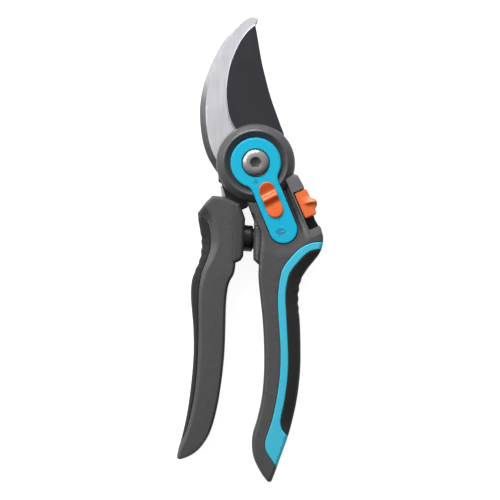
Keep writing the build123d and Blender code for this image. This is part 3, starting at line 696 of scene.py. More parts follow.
LEFT_TOP = [(-26.68, -22.82), (-22.95, -18.03), (-19.78, -14.86), (-14.31, -15.46), (-7.31, -18.77),
            (-6.03, -21.9), (-4.83, -25.39), (-5.75, -42.9), (-6.95, -44.7), (-9.3, -45.8)]
LEFT_INNER = [(-9.3, -45.8), (-9.52, -48.35), (-10.26, -51.34), (-11.64, -53.73), (-12.56, -56.17),
              (-13.2, -59.62), (-13.62, -63.76), (-13.85, -69.28), (-14.03, -76.64), (-14.35, -85.84),
              (-15.13, -95.04), (-16.33, -104.24), (-17.99, -113.44), (-20.65, -122.64), (-23.0, -127.24),
              (-26.5, -131.56), (-30.31, -134.23), (-34.09, -135.7)]
LEFT_OUTER = [(-36.2, -134.6), (-35.47, -130.92), (-34.27, -127.01), (-33.07, -122.18), (-31.33, -113.67),
              (-29.99, -104.24), (-29.03, -95.04), (-28.52, -86.76), (-28.52, -79.86), (-28.84, -72.96),
              (-29.39, -66.98), (-29.76, -61.46), (-29.58, -55.48), (-28.75, -51.57), (-27.28, -47.66),
              (-25.81, -43.98), (-25.12, -39.38), (-25.12, -34.78), (-25.71, -30.18), (-26.36, -26.5),
              (-26.68, -22.82)]
LEFT_SEAM = [(-28.9, -24.9), (-27.0, -25.15), (-24.06, -25.53), (-22.13, -27.14), (-21.02, -30.64), (-20.61, -35.24),
             (-20.93, -39.38), (-22.08, -43.29), (-23.51, -46.97), (-24.75, -50.23), (-25.48, -53.87),
             (-26.08, -58.24), (-26.31, -63.3), (-26.27, -72.04), (-26.31, -81.24), (-26.68, -90.44),
             (-27.37, -99.64), (-28.61, -108.84), (-30.13, -116.2), (-31.88, -122.64), (-33.72, -126.68),
             (-35.4, -128.2), (-37.5, -129.6)]
LEFT_RIDGE = [(-23.2, -16.5), (-22.3, -18.1), (-19.6, -22.4), (-18.0, -27.0), (-16.9, -32.6), (-16.8, -37.5),
              (-18.6, -43.0), (-21.5, -48.2), (-23.4, -53.4), (-24.3, -58.2), (-24.6, -64.0), (-24.5, -72.0),
              (-24.5, -81.0), (-24.9, -90.4), (-25.6, -99.5), (-26.8, -108.7), (-28.3, -116.2), (-30.4, -123.5),
              (-32.6, -129.0), (-34.9, -133.0)]
RIGHT_NECK = [(-5.38, -15.92), (-4.0, -17.99), (-2.62, -21.67), (-0.78, -26.6), (-0.83, -28.8), (-1.15, -42.14),
              (-1.06, -44.25), (1.43, -46.74)]
RIGHT_INNER = [(1.43, -46.74), (1.24, -51.34), (1.56, -56.4), (2.25, -62.84), (3.17, -72.04), (3.73, -81.24),
               (3.91, -90.44), (3.63, -99.64), (2.67, -108.84), (0.64, -118.04), (-1.33, -124.75),
               (-1.79, -129.08), (-1.2, -134.14), (0.51, -138.55), (3.08, -142.97), (5.47, -146.1)]
RIGHT_OUTER = [(7.13, -146.1), (9.06, -141.13), (10.72, -136.44), (12.51, -131.61), (14.86, -124.94),
               (16.84, -118.04), (18.81, -108.84), (20.06, -99.64), (20.56, -92.28), (20.61, -84.0),
               (20.38, -74.8), (19.92, -67.9), (19.69, -61.92), (20.1, -57.32), (21.3, -52.72), (23.69, -48.67),
               (27.09, -44.44), (29.21, -41.49), (30.59, -38.0), (30.96, -34.09), (30.0, -29.9)]
RIGHT_SPINE = [(30.0, -29.9), (27.55, -25.81), (26.08, -20.98), (23.87, -15.0), (21.76, -10.03), (19.3, -5.6),
               (17.4, -4.9), (15.3, -8.3)]
STRIPE_IN = [(33.0, -36.35), (31.65, -36.35), (27.51, -36.29), (24.06, -37.17), (21.25, -38.55), (18.31, -40.85),
             (15.82, -43.61), (13.57, -46.46), (12.05, -49.22), (11.27, -52.26), (10.67, -55.94),
             (10.26, -60.08), (10.17, -64.68), (10.4, -69.74), (10.81, -75.72), (11.22, -82.16), (11.36, -88.6),
             (11.22, -94.58), (10.72, -100.1), (9.94, -106.08), (8.79, -112.06), (7.45, -117.81),
             (5.89, -122.64), (4.65, -126.32), (4.19, -129.31), (4.83, -132.02), (6.49, -134.69),
             (9.52, -139.1), (11.0, -141.2)]
STRIPE_OUT = [(33.0, -39.5), (31.65, -39.47), (28.2, -39.61), (25.16, -40.39), (22.59, -42.09), (19.87, -44.94),
              (17.25, -48.02), (15.36, -51.11), (14.35, -54.79), (13.75, -58.88), (13.66, -63.3),
              (13.94, -67.9), (14.26, -73.88), (14.58, -80.32), (14.86, -87.22), (14.86, -93.2),
              (14.49, -98.95), (13.8, -104.7), (12.83, -110.68), (11.73, -115.51), (11.32, -118.73),
              (11.91, -121.62), (13.39, -123.74), (15.96, -126.32), (18.0, -128.2)]

ZT = 17.6
MID = 8.8


def mirrored(front):
    """The back face repeats the front one, flat where the tool rests."""
    return lambda P: np.maximum(0.0, 2 * MID - front(P))


# ------------------------------------------------------------------ left handle
l_inner = smooth_curve(LEFT_INNER); l_outer = smooth_curve(LEFT_OUTER)
l_top = dense(LEFT_TOP)
l_tip = arc((-34.95, -134.7), 1.15, 180, 305, 0.4)
L_SIL = chain(l_top, l_inner[:-1], [(-34.3, -135.66), (-35.0, -135.75), (-35.8, -135.4)], l_outer)
l_seam = smooth_curve(LEFT_SEAM)
l_ridge = smooth_curve(LEFT_RIDGE)


def left_front(P):
    d, _ = near(P, L_SIL, True)
    z = np.full(len(P), ZT)
    r, side = near(P, l_ridge)
    out = np.where(side < 0, r, 0.0)          # outside of the ridge the flank falls away
    out = np.where(P[:, 1] > -16.0, 0, out)
    z -= 0.42 * np.clip(out - 0.1, 0, 1.65) + 0.55 * np.maximum(0, out - 1.75)
    z = z - 0.12 * sstep(P[:, 0] - (-9.2 - (P[:, 1] + 18.8) * -0.0524 * -1), -1.0, 0.2)
    pad = P[:, 0] - (-9.2 + (P[:, 1] + 18.8) * 0.0524)     # pad beside the gap: a shallow facet
    on = (P[:, 1] > -46.5)
    z -= np.where(on, 0.28 * np.maximum(0, pad), 0)
    z -= np.where(on, 0.30 * np.exp(-(pad / 0.25) ** 2), 0)
    crown = sstep(-P[:, 1], 50, 62) * 0.035
    c, _ = near(P, l_inner)
    z -= crown * np.maximum(0, 7.0 - c)
    return z - edge_drop(d)


LEFT_FEATURE = [tuple(p + o) for p in smooth_curve(LEFT_RIDGE) for o in (np.array([-0.12, -0.04]), np.array([0.12, 0.04]))] + [(-9.2 + (y + 18.8) * 0.0524 + o, y) for y in np.arange(-46, -19, 0.5) for o in (-0.25, 0, 0.25)]
s_hi, i_hi, j_hi = crossing(l_seam, l_outer)
s_lo, i_lo, j_lo = crossing(l_seam[::-1], l_outer)
n_seam = len(l_seam)
seam_in = l_seam[i_hi + 1:n_seam - 1 - i_lo]
lo_j, hi_j = min(j_hi, j_lo), max(j_hi, j_lo)
seam_run = np.vstack([[s_hi], seam_in, [s_lo]])
body_outline = chain(l_top, l_inner[:-1], [(-34.3, -135.66), (-35.0, -135.75), (-35.8, -135.4)], l_outer[:lo_j + 1],
                     seam_run[::-1], l_outer[hi_j + 1:])
insert_outline = chain(seam_run, l_outer[lo_j + 1:hi_j + 1])


def seam_groove(front, seam, w=0.28, depth=0.35):
    def f(P):
        d, _ = near(P, seam)
        return front(P) - depth * np.clip(1 - d / w, 0, 1) ** 1.5
    return f


def left_mat(c):
    d, side = near(c, l_ridge)
    return ((side < 0) & (d > 1.75) & (c[:, 1] > -26.5) & (c[:, 0] < -19)).astype(int)


def offset_line(q, o):
    t = np.gradient(q, axis=0)
    t /= np.linalg.norm(t, axis=1, keepdims=True)
    return q + np.c_[-t[:, 1], t[:, 0]] * o


band_line = offset_line(l_ridge, -1.75)
band_line = band_line[(band_line[:, 1] > -24.0) & inside(band_line, L_SIL)]
lb = relief("left_handle_shell", body_outline, seam_groove(left_front, seam_run), mirrored(seam_groove(left_front, seam_run)),
            [M_body_l, M_flank], grid=1.1, extra=LEFT_FEATURE, matfn=left_mat, creases=[band_line], angle=24)
place(lb, "left_handle", ["left_handle_body"])


def rib_amount(P, y0, y1, pitch, fade=4.0):
    w = sstep(P[:, 1], y0, y0 + fade) * (1 - sstep(P[:, 1], y1 - fade, y1))
    return w * (0.5 - 0.5 * np.cos(2 * math.pi * (P[:, 1] - y0) / pitch))


def left_insert_front(P):
    d, _ = near(P, L_SIL, True)
    base = seam_groove(left_front, seam_run, 0.45, 0.5)(P) - 0.10
    ribs = rib_amount(P, -52.5, -31.0, 4.1) * np.clip(1 - d / 4.0, 0, 1) * 0.45
    return base - ribs


def ribbed(outline, y0, y1, pitch, depth, seam):
    """Notches the free side of an insert with grip ribs."""
    P = np.array(outline)
    c = P.mean(0)
    ds, _ = near(P, seam)
    t = np.roll(P, -1, axis=0) - np.roll(P, 1, axis=0)
    t /= np.linalg.norm(t, axis=1, keepdims=True)
    area = np.sum(P[:, 0] * np.roll(P[:, 1], -1) - P[:, 1] * np.roll(P[:, 0], -1))
    n = np.c_[-t[:, 1], t[:, 0]] * (1 if area > 0 else -1)
    a = rib_amount(P, y0, y1, pitch) * sstep(ds, 0.8, 2.5) * depth
    return P + n * a[:, None]


li = relief("left_grip_rubber", ribbed(insert_outline, -52.5, -31.0, 4.1, 0.38, seam_run), left_insert_front,
            mirrored(left_insert_front), [M_insert_l], grid=0.9, edge=0.45)
place(li, "left_handle", ["left_grip_insert"])

# ------------------------------------------------------------------ right handle
r_inner = smooth_curve(RIGHT_INNER); r_outer = smooth_curve(RIGHT_OUTER)
r_in = smooth_curve(STRIPE_IN); r_out = smooth_curve(STRIPE_OUT)
neck = dense(RIGHT_NECK)
spine = dense(RIGHT_SPINE)
tip = [(5.47, -146.1), (5.95, -146.0), (6.3, -146.1), (6.75, -146.05), (7.13, -146.1)]
tip = [(5.47, -146.05), (5.9, -146.12), (6.6, -146.12), (7.1, -145.95)]
R_SIL = chain(neck, r_inner[:-1], tip, r_outer[1:], spine, arc((0, 0), 17.6, -28, 249))


def cut(line, outer):
    a, i, j = crossing(line, outer)
    b, k, m = crossing(line[::-1], outer)
    mid = line[i + 1:len(line) - 1 - k]
    return np.vstack([[a], mid, [b]]), j, m          # from the top end to the bottom end


in_run, in_top, in_bot = cut(r_in, r_outer)
out_run, out_top, out_bot = cut(r_out, r_outer)
PAD_R = smooth_curve([(-1.4, -23.2), (-0.3, -26.2), (1.2, -29.5), (2.35, -32.2), (2.2, -38.0), (1.7, -43.0), (1.35, -47.6)], 0.5)


def right_front(P):
    d, _ = near(P, R_SIL, True)
    z = np.full(len(P), ZT)
    s = P @ U_ARM; t = P @ V_ARM
    # flank outside of the stripe
    r, side = near(P, out_run)
    out = np.where((side > 0), r, 0.0)
    z -= 0.42 * np.maximum(0, out - 0.3)
    # pad beside the spring: a facet leaning towards the gap
    q, sp = near(P, PAD_R)
    on = (P[:, 1] > -47.2) & (P[:, 1] < -23.0) & (sp < 0)
    z -= np.where(on, 0.22 + 0.40 * q, 0)
    z -= np.where((P[:, 1] < -23) & (P[:, 1] > -47.2), 0.95 * np.exp(-(q / 0.34) ** 2), 0)
    # bed beside the plate, and the channel between the plate and the lock rail
    round_end = np.hypot(np.maximum(0, s - 33.0), t)
    bed = 1 - sstep(round_end, 7.2, 13.0)
    z -= bed * 0.55 * (s < 60)
    ch = sstep(t, 6.9, 8.4) * (1 - sstep(t, 9.9, 11.3)) * (1 - sstep(s, 27.0, 43.0)) * sstep(s, 8.0, 12.0)
    z -= 3.3 * ch
    # soft crown down the grip
    c = np.minimum(near(P, r_inner)[0], 9)
    z -= sstep(-P[:, 1], 50, 64) * 0.03 * np.maximum(0, 6.0 - c)
    return z - edge_drop(d)


NUT = [(5.05 / math.cos(math.radians(30)) * math.cos(math.radians(a)),
        5.05 / math.cos(math.radians(30)) * math.sin(math.radians(a))) for a in range(0, 361, 60)]
SCREWS = [(1.6, -21.6), (15.0, -36.3)]
R_DISC = 18.12
notch_edge = np.array([arm(14.0, -6.78), arm(33.0, -6.78)]
                      + [arm(33 + 6.78 * math.sin(a), -6.78 * math.cos(a)) for a in np.linspace(0.1, math.pi - 0.1, 30)]
                      + [arm(33.0, 6.78), arm(14.0, 6.78)])
rail_left = [lockp(-6.2, -0.95), lockp(22.05, -0.95), lockp(22.05, 9.0)]
cr, ci, cj = crossing(dense(rail_left), r_outer)
neck_in, ni, nj = crossing(neck, arc((0, 0), 18.1, 240, 275, 0.2))
spine_in, si, sj = crossing(spine, arc((0, 0), 18.1, -60, 10, 0.2))
a_neck = math.degrees(math.atan2(neck_in[1], neck_in[0])) % 360
a_spine = math.degrees(math.atan2(spine_in[1], spine_in[0]))
R_SIL = chain(neck[ni + 1:], r_inner[:-1], tip, r_outer[1:], spine[:si + 1], [spine_in], arc((0, 0), 18.1, a_spine, a_neck))
body_r = chain([neck_in], neck[ni + 1:], r_inner[:-1], tip, r_outer[1:in_bot + 1], in_run[::-1], r_outer[in_top + 1:],
               spine[:si + 1], [spine_in], arc((0, 0), 18.1, a_spine, a_neck))


def in_notch(P):
    s = P @ U_ARM; t = P @ V_ARM
    return (np.abs(t) < 6.78) & (s > 0) & ((s < 33) | (np.hypot(s - 33, t) < 6.78))


def in_rail(P):
    w = P - LOCK_AT
    s = w @ U_LOCK; t = w @ V_LOCK
    return (s > -9.5) & (s < 22.05) & (t > -0.95)


def right_body_front(P):
    z = seam_groove(right_front, in_run)(P)
    r = np.hypot(P[:, 0], P[:, 1])
    a = np.degrees(np.arctan2(P[:, 1], P[:, 0])) % 360
    z = np.where(in_notch(P), np.minimum(z, 12.05), z)
    z = np.where(in_rail(P), 3.0, z)
    wall = (r > 15.4) & ((a > 267) | (a < 3))
    return np.where(r < R_DISC, np.where(wall, 12.05, 5.4), z)


def right_body_back(P):
    d, _ = near(P, R_SIL, True)
    r, side = near(P, out_run)
    out = np.where((side > 0) & (P[:, 1] < -36), r, 0.0)
    q, _ = near(P, in_run)
    z = 0.42 * np.maximum(0, out - 0.3) + rnd(d, 1.9) + 0.35 * np.clip(1 - q / 0.28, 0, 1) ** 1.5
    z = np.where(inside(P, np.array(NUT[:-1])), 4.99, z)
    for c in SCREWS:
        z = np.where(np.hypot(P[:, 0] - c[0], P[:, 1] - c[1]) < 2.7, 2.2, z)
    return z


FE = []
for p, nxt in zip(PAD_R[:-1], PAD_R[1:]):
    t = (nxt - p) / np.linalg.norm(nxt - p)
    n = np.array([-t[1], t[0]])
    FE += [p + n * o for o in (-0.3, 0.0, 0.3)]
for s in np.arange(12, 42, 0.9):
    for t in (7.0, 7.4, 7.9, 8.4, 8.9, 9.5, 10.2, 10.9, 11.6):
        FE.append(np.array(arm(s, t)))
CR = [arc((0, 0), R_DISC, a_neck - 360 - 2, a_spine + 2), arc((0, 0), 15.4, 267, 363),
      [(15.4 * math.cos(math.radians(267)), 15.4 * math.sin(math.radians(267))),
       (18.1 * math.cos(math.radians(267)), 18.1 * math.sin(math.radians(267)))],
      [(15.4 * math.cos(math.radians(3)), 15.4 * math.sin(math.radians(3))),
       (18.0 * math.cos(math.radians(3)), 18.0 * math.sin(math.radians(3)))],
      notch_edge, rail_left, NUT] + [arc(c, 2.7, 0, 360, 0.4) for c in SCREWS]
rb = relief("right_handle_shell", body_r, right_body_front, right_body_back, [M_body], grid=1.2, extra=FE,
            holes=[arc((0, 0), 4.1, 0, 350, 0.5)], creases=CR, angle=40)
place(rb, "root", ["right_handle_body"])

stripe_outline = chain(in_run, r_outer[in_bot:out_bot + 1], out_run[::-1], r_outer[out_top + 1:in_top + 1])


def stripe_front(P):
    a, _ = near(P, in_run); b, _ = near(P, out_run)
    return right_front(P) + 0.12 - rnd(np.minimum(a, b), 0.5)


st = relief("soft_stripe", stripe_outline, stripe_front, mirrored(stripe_front), [M_stripe], grid=0.9, edge=0.45,
            offsets=(0.06, 0.16, 0.3, 0.5, 0.8, 1.2))
place(st, "root", ["right_grip_stripe"])

insert_r = chain(out_run, r_outer[out_bot:out_top + 1])


def insert_r_front(P):
    d, _ = near(P, R_SIL, True)
    a, _ = near(P, out_run)
    ribs = rib_amount(P, -70.5, -50.0, 4.1) * np.clip(1 - d / 4.0, 0, 1) * 0.45
    return right_front(P) - 0.05 - rnd(a, 0.55) - ribs


ri = relief("right_grip_rubber", ribbed(insert_r, -70.5, -50.0, 4.1, 0.38, out_run), insert_r_front,
            mirrored(insert_r_front), [M_insert], grid=0.9, edge=0.45)
place(ri, "root", ["right_grip_insert"])


# ------------------------------------------------------------------ pivot housing
RING = resample([(10.9, 15.9), (11.9, 15.9), (12.3, 16.1), (13.95, 17.85), (14.2, 18.08), (14.5, 18.18), (14.85, 18.1), (15.2, 17.88),
                 (17.3, 16.05), (17.8, 15.45), (18.05, 14.9), (18.1, 14.5)], 0.1)
housing_out = chain(arc((0, 0), 18.1, 315, 609 - 0.5)[:0], [arm(16.84, 6.62)],
                    arc((0, 0), 18.1, math.degrees(math.atan2(arm(16.84, 6.62)[1], arm(16.84, 6.62)[0])),
                        math.degrees(math.atan2(arm(16.84, -6.62)[1], arm(16.84, -6.62)[0]))
                        + (360 if math.atan2(arm(16.84, -6.62)[1], arm(16.84, -6.62)[0])
                           < math.atan2(arm(16.84, 6.62)[1], arm(16.84, 6.62)[0]) else 0)),
                    [arm(33.0, -6.55)],
                    [arm(33 + 6.55 * math.sin(a), -6.55 * math.cos(a)) for a in np.linspace(0.1, math.pi - 0.1, 30)],
                    [arm(33.0, 6.55)])


def slot_loop(s0, s1, r, step=0.4):
    a = [arm(s0 + r - r * math.sin(x), r * math.cos(x) * 1.0) for x in np.linspace(0, math.pi, 10)]
    b = [arm(s1 - r + r * math.sin(x), -r * math.cos(x)) for x in np.linspace(0, math.pi, 10)]
    return np.array(a + b)


def housing_front(P):
    r = np.hypot(P[:, 0], P[:, 1])
    z = np.interp(r, RING[:, 0], RING[:, 1])
    s = P @ U_ARM; t = P @ V_ARM
    z = np.where((np.abs(t) < 6.6) & (s > 0), 15.9, z)
    return np.where(r > 18.2, 15.9, z)


HE = []
for r in (11.7, 11.95, 12.3, 12.8, 13.4, 13.95, 14.2, 14.5, 14.85, 15.2, 15.7, 16.3, 16.8, 17.3, 17.6, 17.85):
    HE += list(arc((0, 0), r, 0, 359.0, 0.55))
ph = relief("pivot_ring", housing_out, housing_front, lambda P: np.full(len(P), 12.1), [M_ring], grid=1.6, extra=HE,
            holes=[arc((0, 0), 4.1, 0, 350, 0.5), slot_loop(14.7, 25.3, 1.65)], offsets=(0.1,),
            creases=[[arm(9.3, 6.6), arm(16.7, 6.6)], [arm(9.3, -6.6), arm(16.7, -6.6)]], angle=45)
place(ph, "root", ["pivot_housing"])

# ------------------------------------------------------------------ keyhole plate
def blend_corner(side):
    """Concave blend of radius 4 between the disc and the arm, as points (s, t)."""
    R, H, f = 11.5, 6.45, 4.0
    cs, ct = math.sqrt((R + f) ** 2 - (H + f) ** 2), H + f
    a0 = math.atan2(-ct, -cs)
    out = []
    for k in np.linspace(0, 1, 12):
        a = (a0 % (2 * math.pi)) * (1 - k) + (1.5 * math.pi) * k
        out.append((cs + f * math.cos(a), (ct + f * math.sin(a)) * side))
    return out


bc = blend_corner(1)
a_hi = math.degrees(math.atan2(bc[0][1], bc[0][0]))
disc = [(11.5 * math.cos(math.radians(a)), 11.5 * math.sin(math.radians(a))) for a in np.arange(a_hi + 2, 360 - a_hi - 1, 2.2)]
cap = [(33 + 6.45 * math.sin(a), -6.45 * math.cos(a)) for a in np.linspace(0, math.pi, 34)]
plate_st = disc + [(p[0], -p[1]) for p in bc] + cap + bc[::-1]
plate_out = np.array([arm(*p) for p in plate_st])
BIG = np.array([(280.8 - 255.7) * 0.46, (163.4 - 232.5) * 0.46])
SMALL = np.array([(256.6 - 255.7) * 0.46, (163.4 - 182.8) * 0.46])


def mark_field(P):
    """1 on the printed marks: a leaf-shaped oval with a short stem, large and small; the line above the large one is
    pressed in by line_field instead.
    """
    out = np.zeros(len(P), bool)
    for c, k in ((BIG, 1.0), (SMALL, 0.5)):
        w = (P - c) / k
        oval = (w[:, 0] / 2.35) ** 2 + (w[:, 1] / 1.55) ** 2
        core = ((w[:, 0] - 0.9) / 0.75) ** 2 + ((w[:, 1] - 0.35) / 0.42) ** 2
        out |= (oval < 1) & (core > 1)
        out |= (np.abs(w[:, 0] + 0.4) < 0.32) & (w[:, 1] < -1.2) & (w[:, 1] > -2.4)
    return out


def line_field(P):
    a = np.array([(279.2 - 255.7) * 0.46, (163.4 - 218.7) * 0.46]); b = np.array([(281.3 - 255.7) * 0.46, (163.4 - 226) * 0.46])
    return near(P, np.array([a, b]))[0]


def plate_front(P):
    d, _ = near(P, plate_out, True)
    r = np.hypot(P[:, 0], P[:, 1])
    z = np.full(len(P), 17.5) - rnd(d, 0.55)
    z -= rnd(np.abs(r - 6.45), 0.35) * (r < 8)
    z -= 0.22 * np.clip(1 - line_field(P) / 0.35, 0, 1)
    z -= 0.10 * mark_field(P)
    return z


PE = []
for c, k in ((BIG, 1.0), (SMALL, 0.5)):
    st_ = 0.16 if k < 1 else 0.22
    gx, gy = np.meshgrid(np.arange(-2.6 * k, 2.6 * k, st_), np.arange(-2.6 * k, 1.8 * k, st_))
    PE += list(np.c_[gx.ravel(), gy.ravel()] + c)
gx, gy = np.meshgrid(np.arange(-1.4, 1.4, 0.2), np.arange(-2.4, 2.4, 0.2))
PE += list(np.c_[gx.ravel(), gy.ravel()] + np.array([11.3, -27.2]))
kp = relief("keyhole_face", plate_out, plate_front, lambda P: np.full(len(P), 15.9), [M_plate, M_mark], grid=1.1, extra=PE,
            edge=0.4, holes=[arc((0, 0), 6.45, 0, 354, 0.4), slot_loop(14.7, 25.3, 1.65)], offsets=(0.06, 0.16, 0.3, 0.55, 1.0),
            matfn=lambda c: mark_field(c).astype(int), angle=40)
place(kp, "root", ["keyhole_plate"])

# ------------------------------------------------------------------ selector button
SEL = smooth_curve([(9.6, 19.5), (11.2, 19.0), (13.2, 18.25), (14.7, 17.85), (15.5, 18.35), (16.6, 19.45), (17.4, 19.7),
                    (18.1, 19.35), (19.2, 18.45), (20.3, 17.98), (22.0, 18.1), (24.5, 18.3), (27.2, 18.4)], 0.2)


def sel_front(P):
    s = P @ U_ARM; t = P @ V_ARM
    d, _ = near(P, pill, True)
    s = s + 0.25 * np.sin(t / 3.7 * math.pi / 2)            # the ridge runs in a shallow S
    z = np.interp(s, SEL[:, 0], SEL[:, 1])
    return z - rnd(d, 0.55)


pill = np.array([arm(9.8 + 3.7 - 3.7 * math.sin(x), 3.7 * math.cos(x)) for x in np.linspace(0, math.pi, 26)]
                + [arm(26.8 - 3.7 + 3.7 * math.sin(x), -3.7 * math.cos(x)) for x in np.linspace(0, math.pi, 26)])
sb = relief("selector_thumb_button", pill, sel_front, lambda P: np.full(len(P), 17.52), [M_orange2], grid=0.5, edge=0.35,
            offsets=(0.06, 0.16, 0.3, 0.5, 0.8), angle=45)
stem = relief("selector_stem", slot_loop(15.05, 19.95, 1.48), lambda P: np.full(len(P), 17.8), lambda P: np.full(len(P), 14.2),
              [M_orange2], grid=1.0, edge=0.4, offsets=(0.2,))
place(sb, "selector", ["selector_button"])
place(stem, "selector", ["selector_button"])

# ------------------------------------------------------------------ lock slider and its rail
slide_st = [(0.0, 0.1), (12.9, 0.1), (12.9, 6.0), (10.4, 6.15), (9.3, 7.9), (6.9, 8.4), (5.6, 7.2), (5.0, 6.3), (0.9, 6.15), (0.0, 5.4)]


def rounded(pts, r, n=5):
    """Polygon with its corners rounded."""
    pts = [np.array(p, float) for p in pts]
    out = []
    for i, p in enumerate(pts):
        a, b = pts[i - 1] - p, pts[(i + 1) % len(pts)] - p
        la, lb = np.linalg.norm(a), np.linalg.norm(b)
        k = min(r, la * 0.45, lb * 0.45)
        a, b = p + a / la * k, p + b / lb * k
        for u in np.linspace(0, 1, n):
            out.append((1 - u) ** 2 * a + 2 * u * (1 - u) * p + u * u * b)
    return out


slide_out = np.array([lockp(*p) for p in rounded(slide_st, 1.0)])


def slide_front(P):
    w = P - LOCK_AT
    s = w @ U_LOCK; t = w @ V_LOCK
    d, _ = near(P, slide_out, True)
    crest = 6.3 + (t - 1.9) * 0.165
    h = 1.45 * sstep(t, 1.4, 5.2)
    u = s - crest
    up = np.clip(1 + u / 3.4, 0, 1) ** 1.3
    dn = np.clip(1 - u / 0.95, 0, 1) ** 1.2
    return 17.0 + h * np.where(u < 0, up, dn) - rnd(d, 0.7)


sl = relief("lock_thumb_slider", slide_out, slide_front, lambda P: np.full(len(P), 4.3), [M_orange], grid=0.55, edge=0.4,
            offsets=(0.07, 0.18, 0.35, 0.6, 0.9), angle=42, wall=6)
place(sl, "lock", ["lock_slider"])

rail_run = dense([lockp(-6.2, -0.95), lockp(22.0, -0.95), lockp(22.0, 9.0)])
c2, c2i, c2j = crossing(rail_run, r_outer)
hit, hi_i, hi_j = crossing(dense([lockp(22.0, -0.95), lockp(-9.5, -0.95)]), arc((0, 0), 15.85, -80, 10, 0.2))
a_in = math.degrees(math.atan2(hit[1], hit[0])); a_out = math.degrees(math.atan2(spine[-1][1], spine[-1][0]))
spine_top = dense(RIGHT_SPINE[:-1])
rail_outline = chain([hit, lockp(22.0, -0.95)], [c2], r_outer[c2j + 1:], spine_top, [(13.95, -7.5)])
RAIL_SIL = chain(r_outer[max(0, c2j - 40):], spine_top)


def rail_front(P):
    w = P - LOCK_AT
    s = w @ U_LOCK; t = w @ V_LOCK
    d, _ = near(P, RAIL_SIL)
    e, _ = near(P, rail_outline, True)
    z = right_front_flat(P) - rnd(d, 1.5)
    z -= rnd(np.abs(t + 0.95), 0.35) * (t < 0)
    inside_slot = (s > -0.3) & (s < 18.3) & (t > -0.25)
    return np.where(inside_slot, 4.0, z)


def right_front_flat(P):
    return np.full(len(P), 17.6)


# Marks the recessed slot of the rail, which gets the darker grey as painted shade.
def slot_painted_shade_mask(c):
    w = c - LOCK_AT
    s = w @ U_LOCK; t = w @ V_LOCK
    return ((s > -0.34) & (s < 18.34) & (t > -0.29)).astype(int)


slot_edge = [lockp(-0.3, 9.5), lockp(-0.3, -0.25), lockp(18.3, -0.25), lockp(18.3, 9.5)]
lr = relief("lock_track", rail_outline, rail_front,
            lambda P: np.where(np.hypot(P[:, 0], P[:, 1]) < 18.15, 12.1, 3.02), [M_rail, M_slot_painted_shade], grid=0.9, matfn=slot_painted_shade_mask, edge=0.45,
            offsets=(0.06, 0.2, 0.45, 0.8, 1.2), creases=[slot_edge, arc((0, 0), 18.15, a_in - 12, a_out + 14)], angle=42)
place(lr, "root", ["lock_rail"])

# ------------------------------------------------------------------ blades
cut_edge = smooth_curve(CUT_EDGE, 0.4); blade_back = smooth_curve(BLADE_BACK, 0.5)
from_hub = math.degrees(math.atan2(CUT_EDGE[-1][1], CUT_EDGE[-1][0]))


def arc_to(p, q, r=15.0):
    a = math.degrees(math.atan2(p[1], p[0])); b = math.degrees(math.atan2(q[1], q[0]))
    if b < a:
        b += 360
    return arc((0, 0), r, a, b)[1:-1]


tang = dense(CUT_TANG)
t_start = next(i for i in range(len(tang)) if np.hypot(*tang[i]) > 15.05)
t_end = max(i for i in range(len(tang)) if np.hypot(*tang[i]) > 15.05)
bb_end = max(i for i in range(len(blade_back)) if np.hypot(*blade_back[i]) > 15.05)
ce_end = max(i for i in range(len(cut_edge)) if np.hypot(*cut_edge[i]) > 15.05)
# cutting edge down to the hub, round its left side to the tang, and round the right side up to the blade's back
cut_out = chain(cut_edge[:ce_end + 1], arc_to(cut_edge[ce_end], tang[t_start]), tang[t_start:t_end + 1],
                arc_to(tang[t_end], blade_back[bb_end]), blade_back[:bb_end + 1][::-1])


def cutter_front(P):
    e, _ = near(P, cut_edge)
    d, _ = near(P, cut_out, True)
    z = 12.0 - rnd(d, 0.25)
    main = (np.hypot(P[:, 0], P[:, 1]) > 14.4) & (P[:, 1] > 8)
    z = np.where(main, np.minimum(z, 12.0 - 2.9 * np.clip(1 - e / 0.72, 0, 1)), z)
    return z


def cutter_mat(c):
    e, _ = near(c, cut_edge)
    return ((e < 0.72) & (np.hypot(c[:, 0], c[:, 1]) > 14.4) & (c[:, 1] > 8)).astype(int)


def latch_notch():
    return [lockp(-13.0, 0.5), lockp(-9.0, 0.5), lockp(-9.0, 4.1), lockp(-13.0, 4.1)]


cb = relief("cutting_blade_plate", cut_out, cutter_front, lambda P: np.full(len(P), 8.8) + rnd(near(P, cut_out, True)[0], 0.1),
            [M_coat, M_edge], grid=1.6, edge=0.45, offsets=(0.06, 0.18, 0.4, 0.68, 0.76, 1.2), wall=3,
            holes=[arc((0, 0), 6.05, 0, 354, 0.5), latch_notch()] , matfn=cutter_mat, angle=30)
place(cb, "left_handle", ["cutting_blade"])

hook_out = smooth_curve(HOOK_OUT, 0.4); hook_in = smooth_curve(HOOK_IN, 0.4)
HOOK_TANG = [(-2.0, -14.5), (6.9, -25.0), (8.3, -41.6), (14.0, -41.6), (17.4, -37.5), (18.6, -30.0)]
ho_end = max(i for i in range(len(hook_out)) if np.hypot(*hook_out[i]) > 15.05)
hi_end = max(i for i in range(len(hook_in)) if np.hypot(*hook_in[i]) > 15.05)
hook_poly = chain(hook_out[:ho_end + 1], arc_to(hook_out[ho_end], hook_in[hi_end]), hook_in[:hi_end + 1][::-1],
                  [(0.95, 66.95), (0.41, 67.34)])


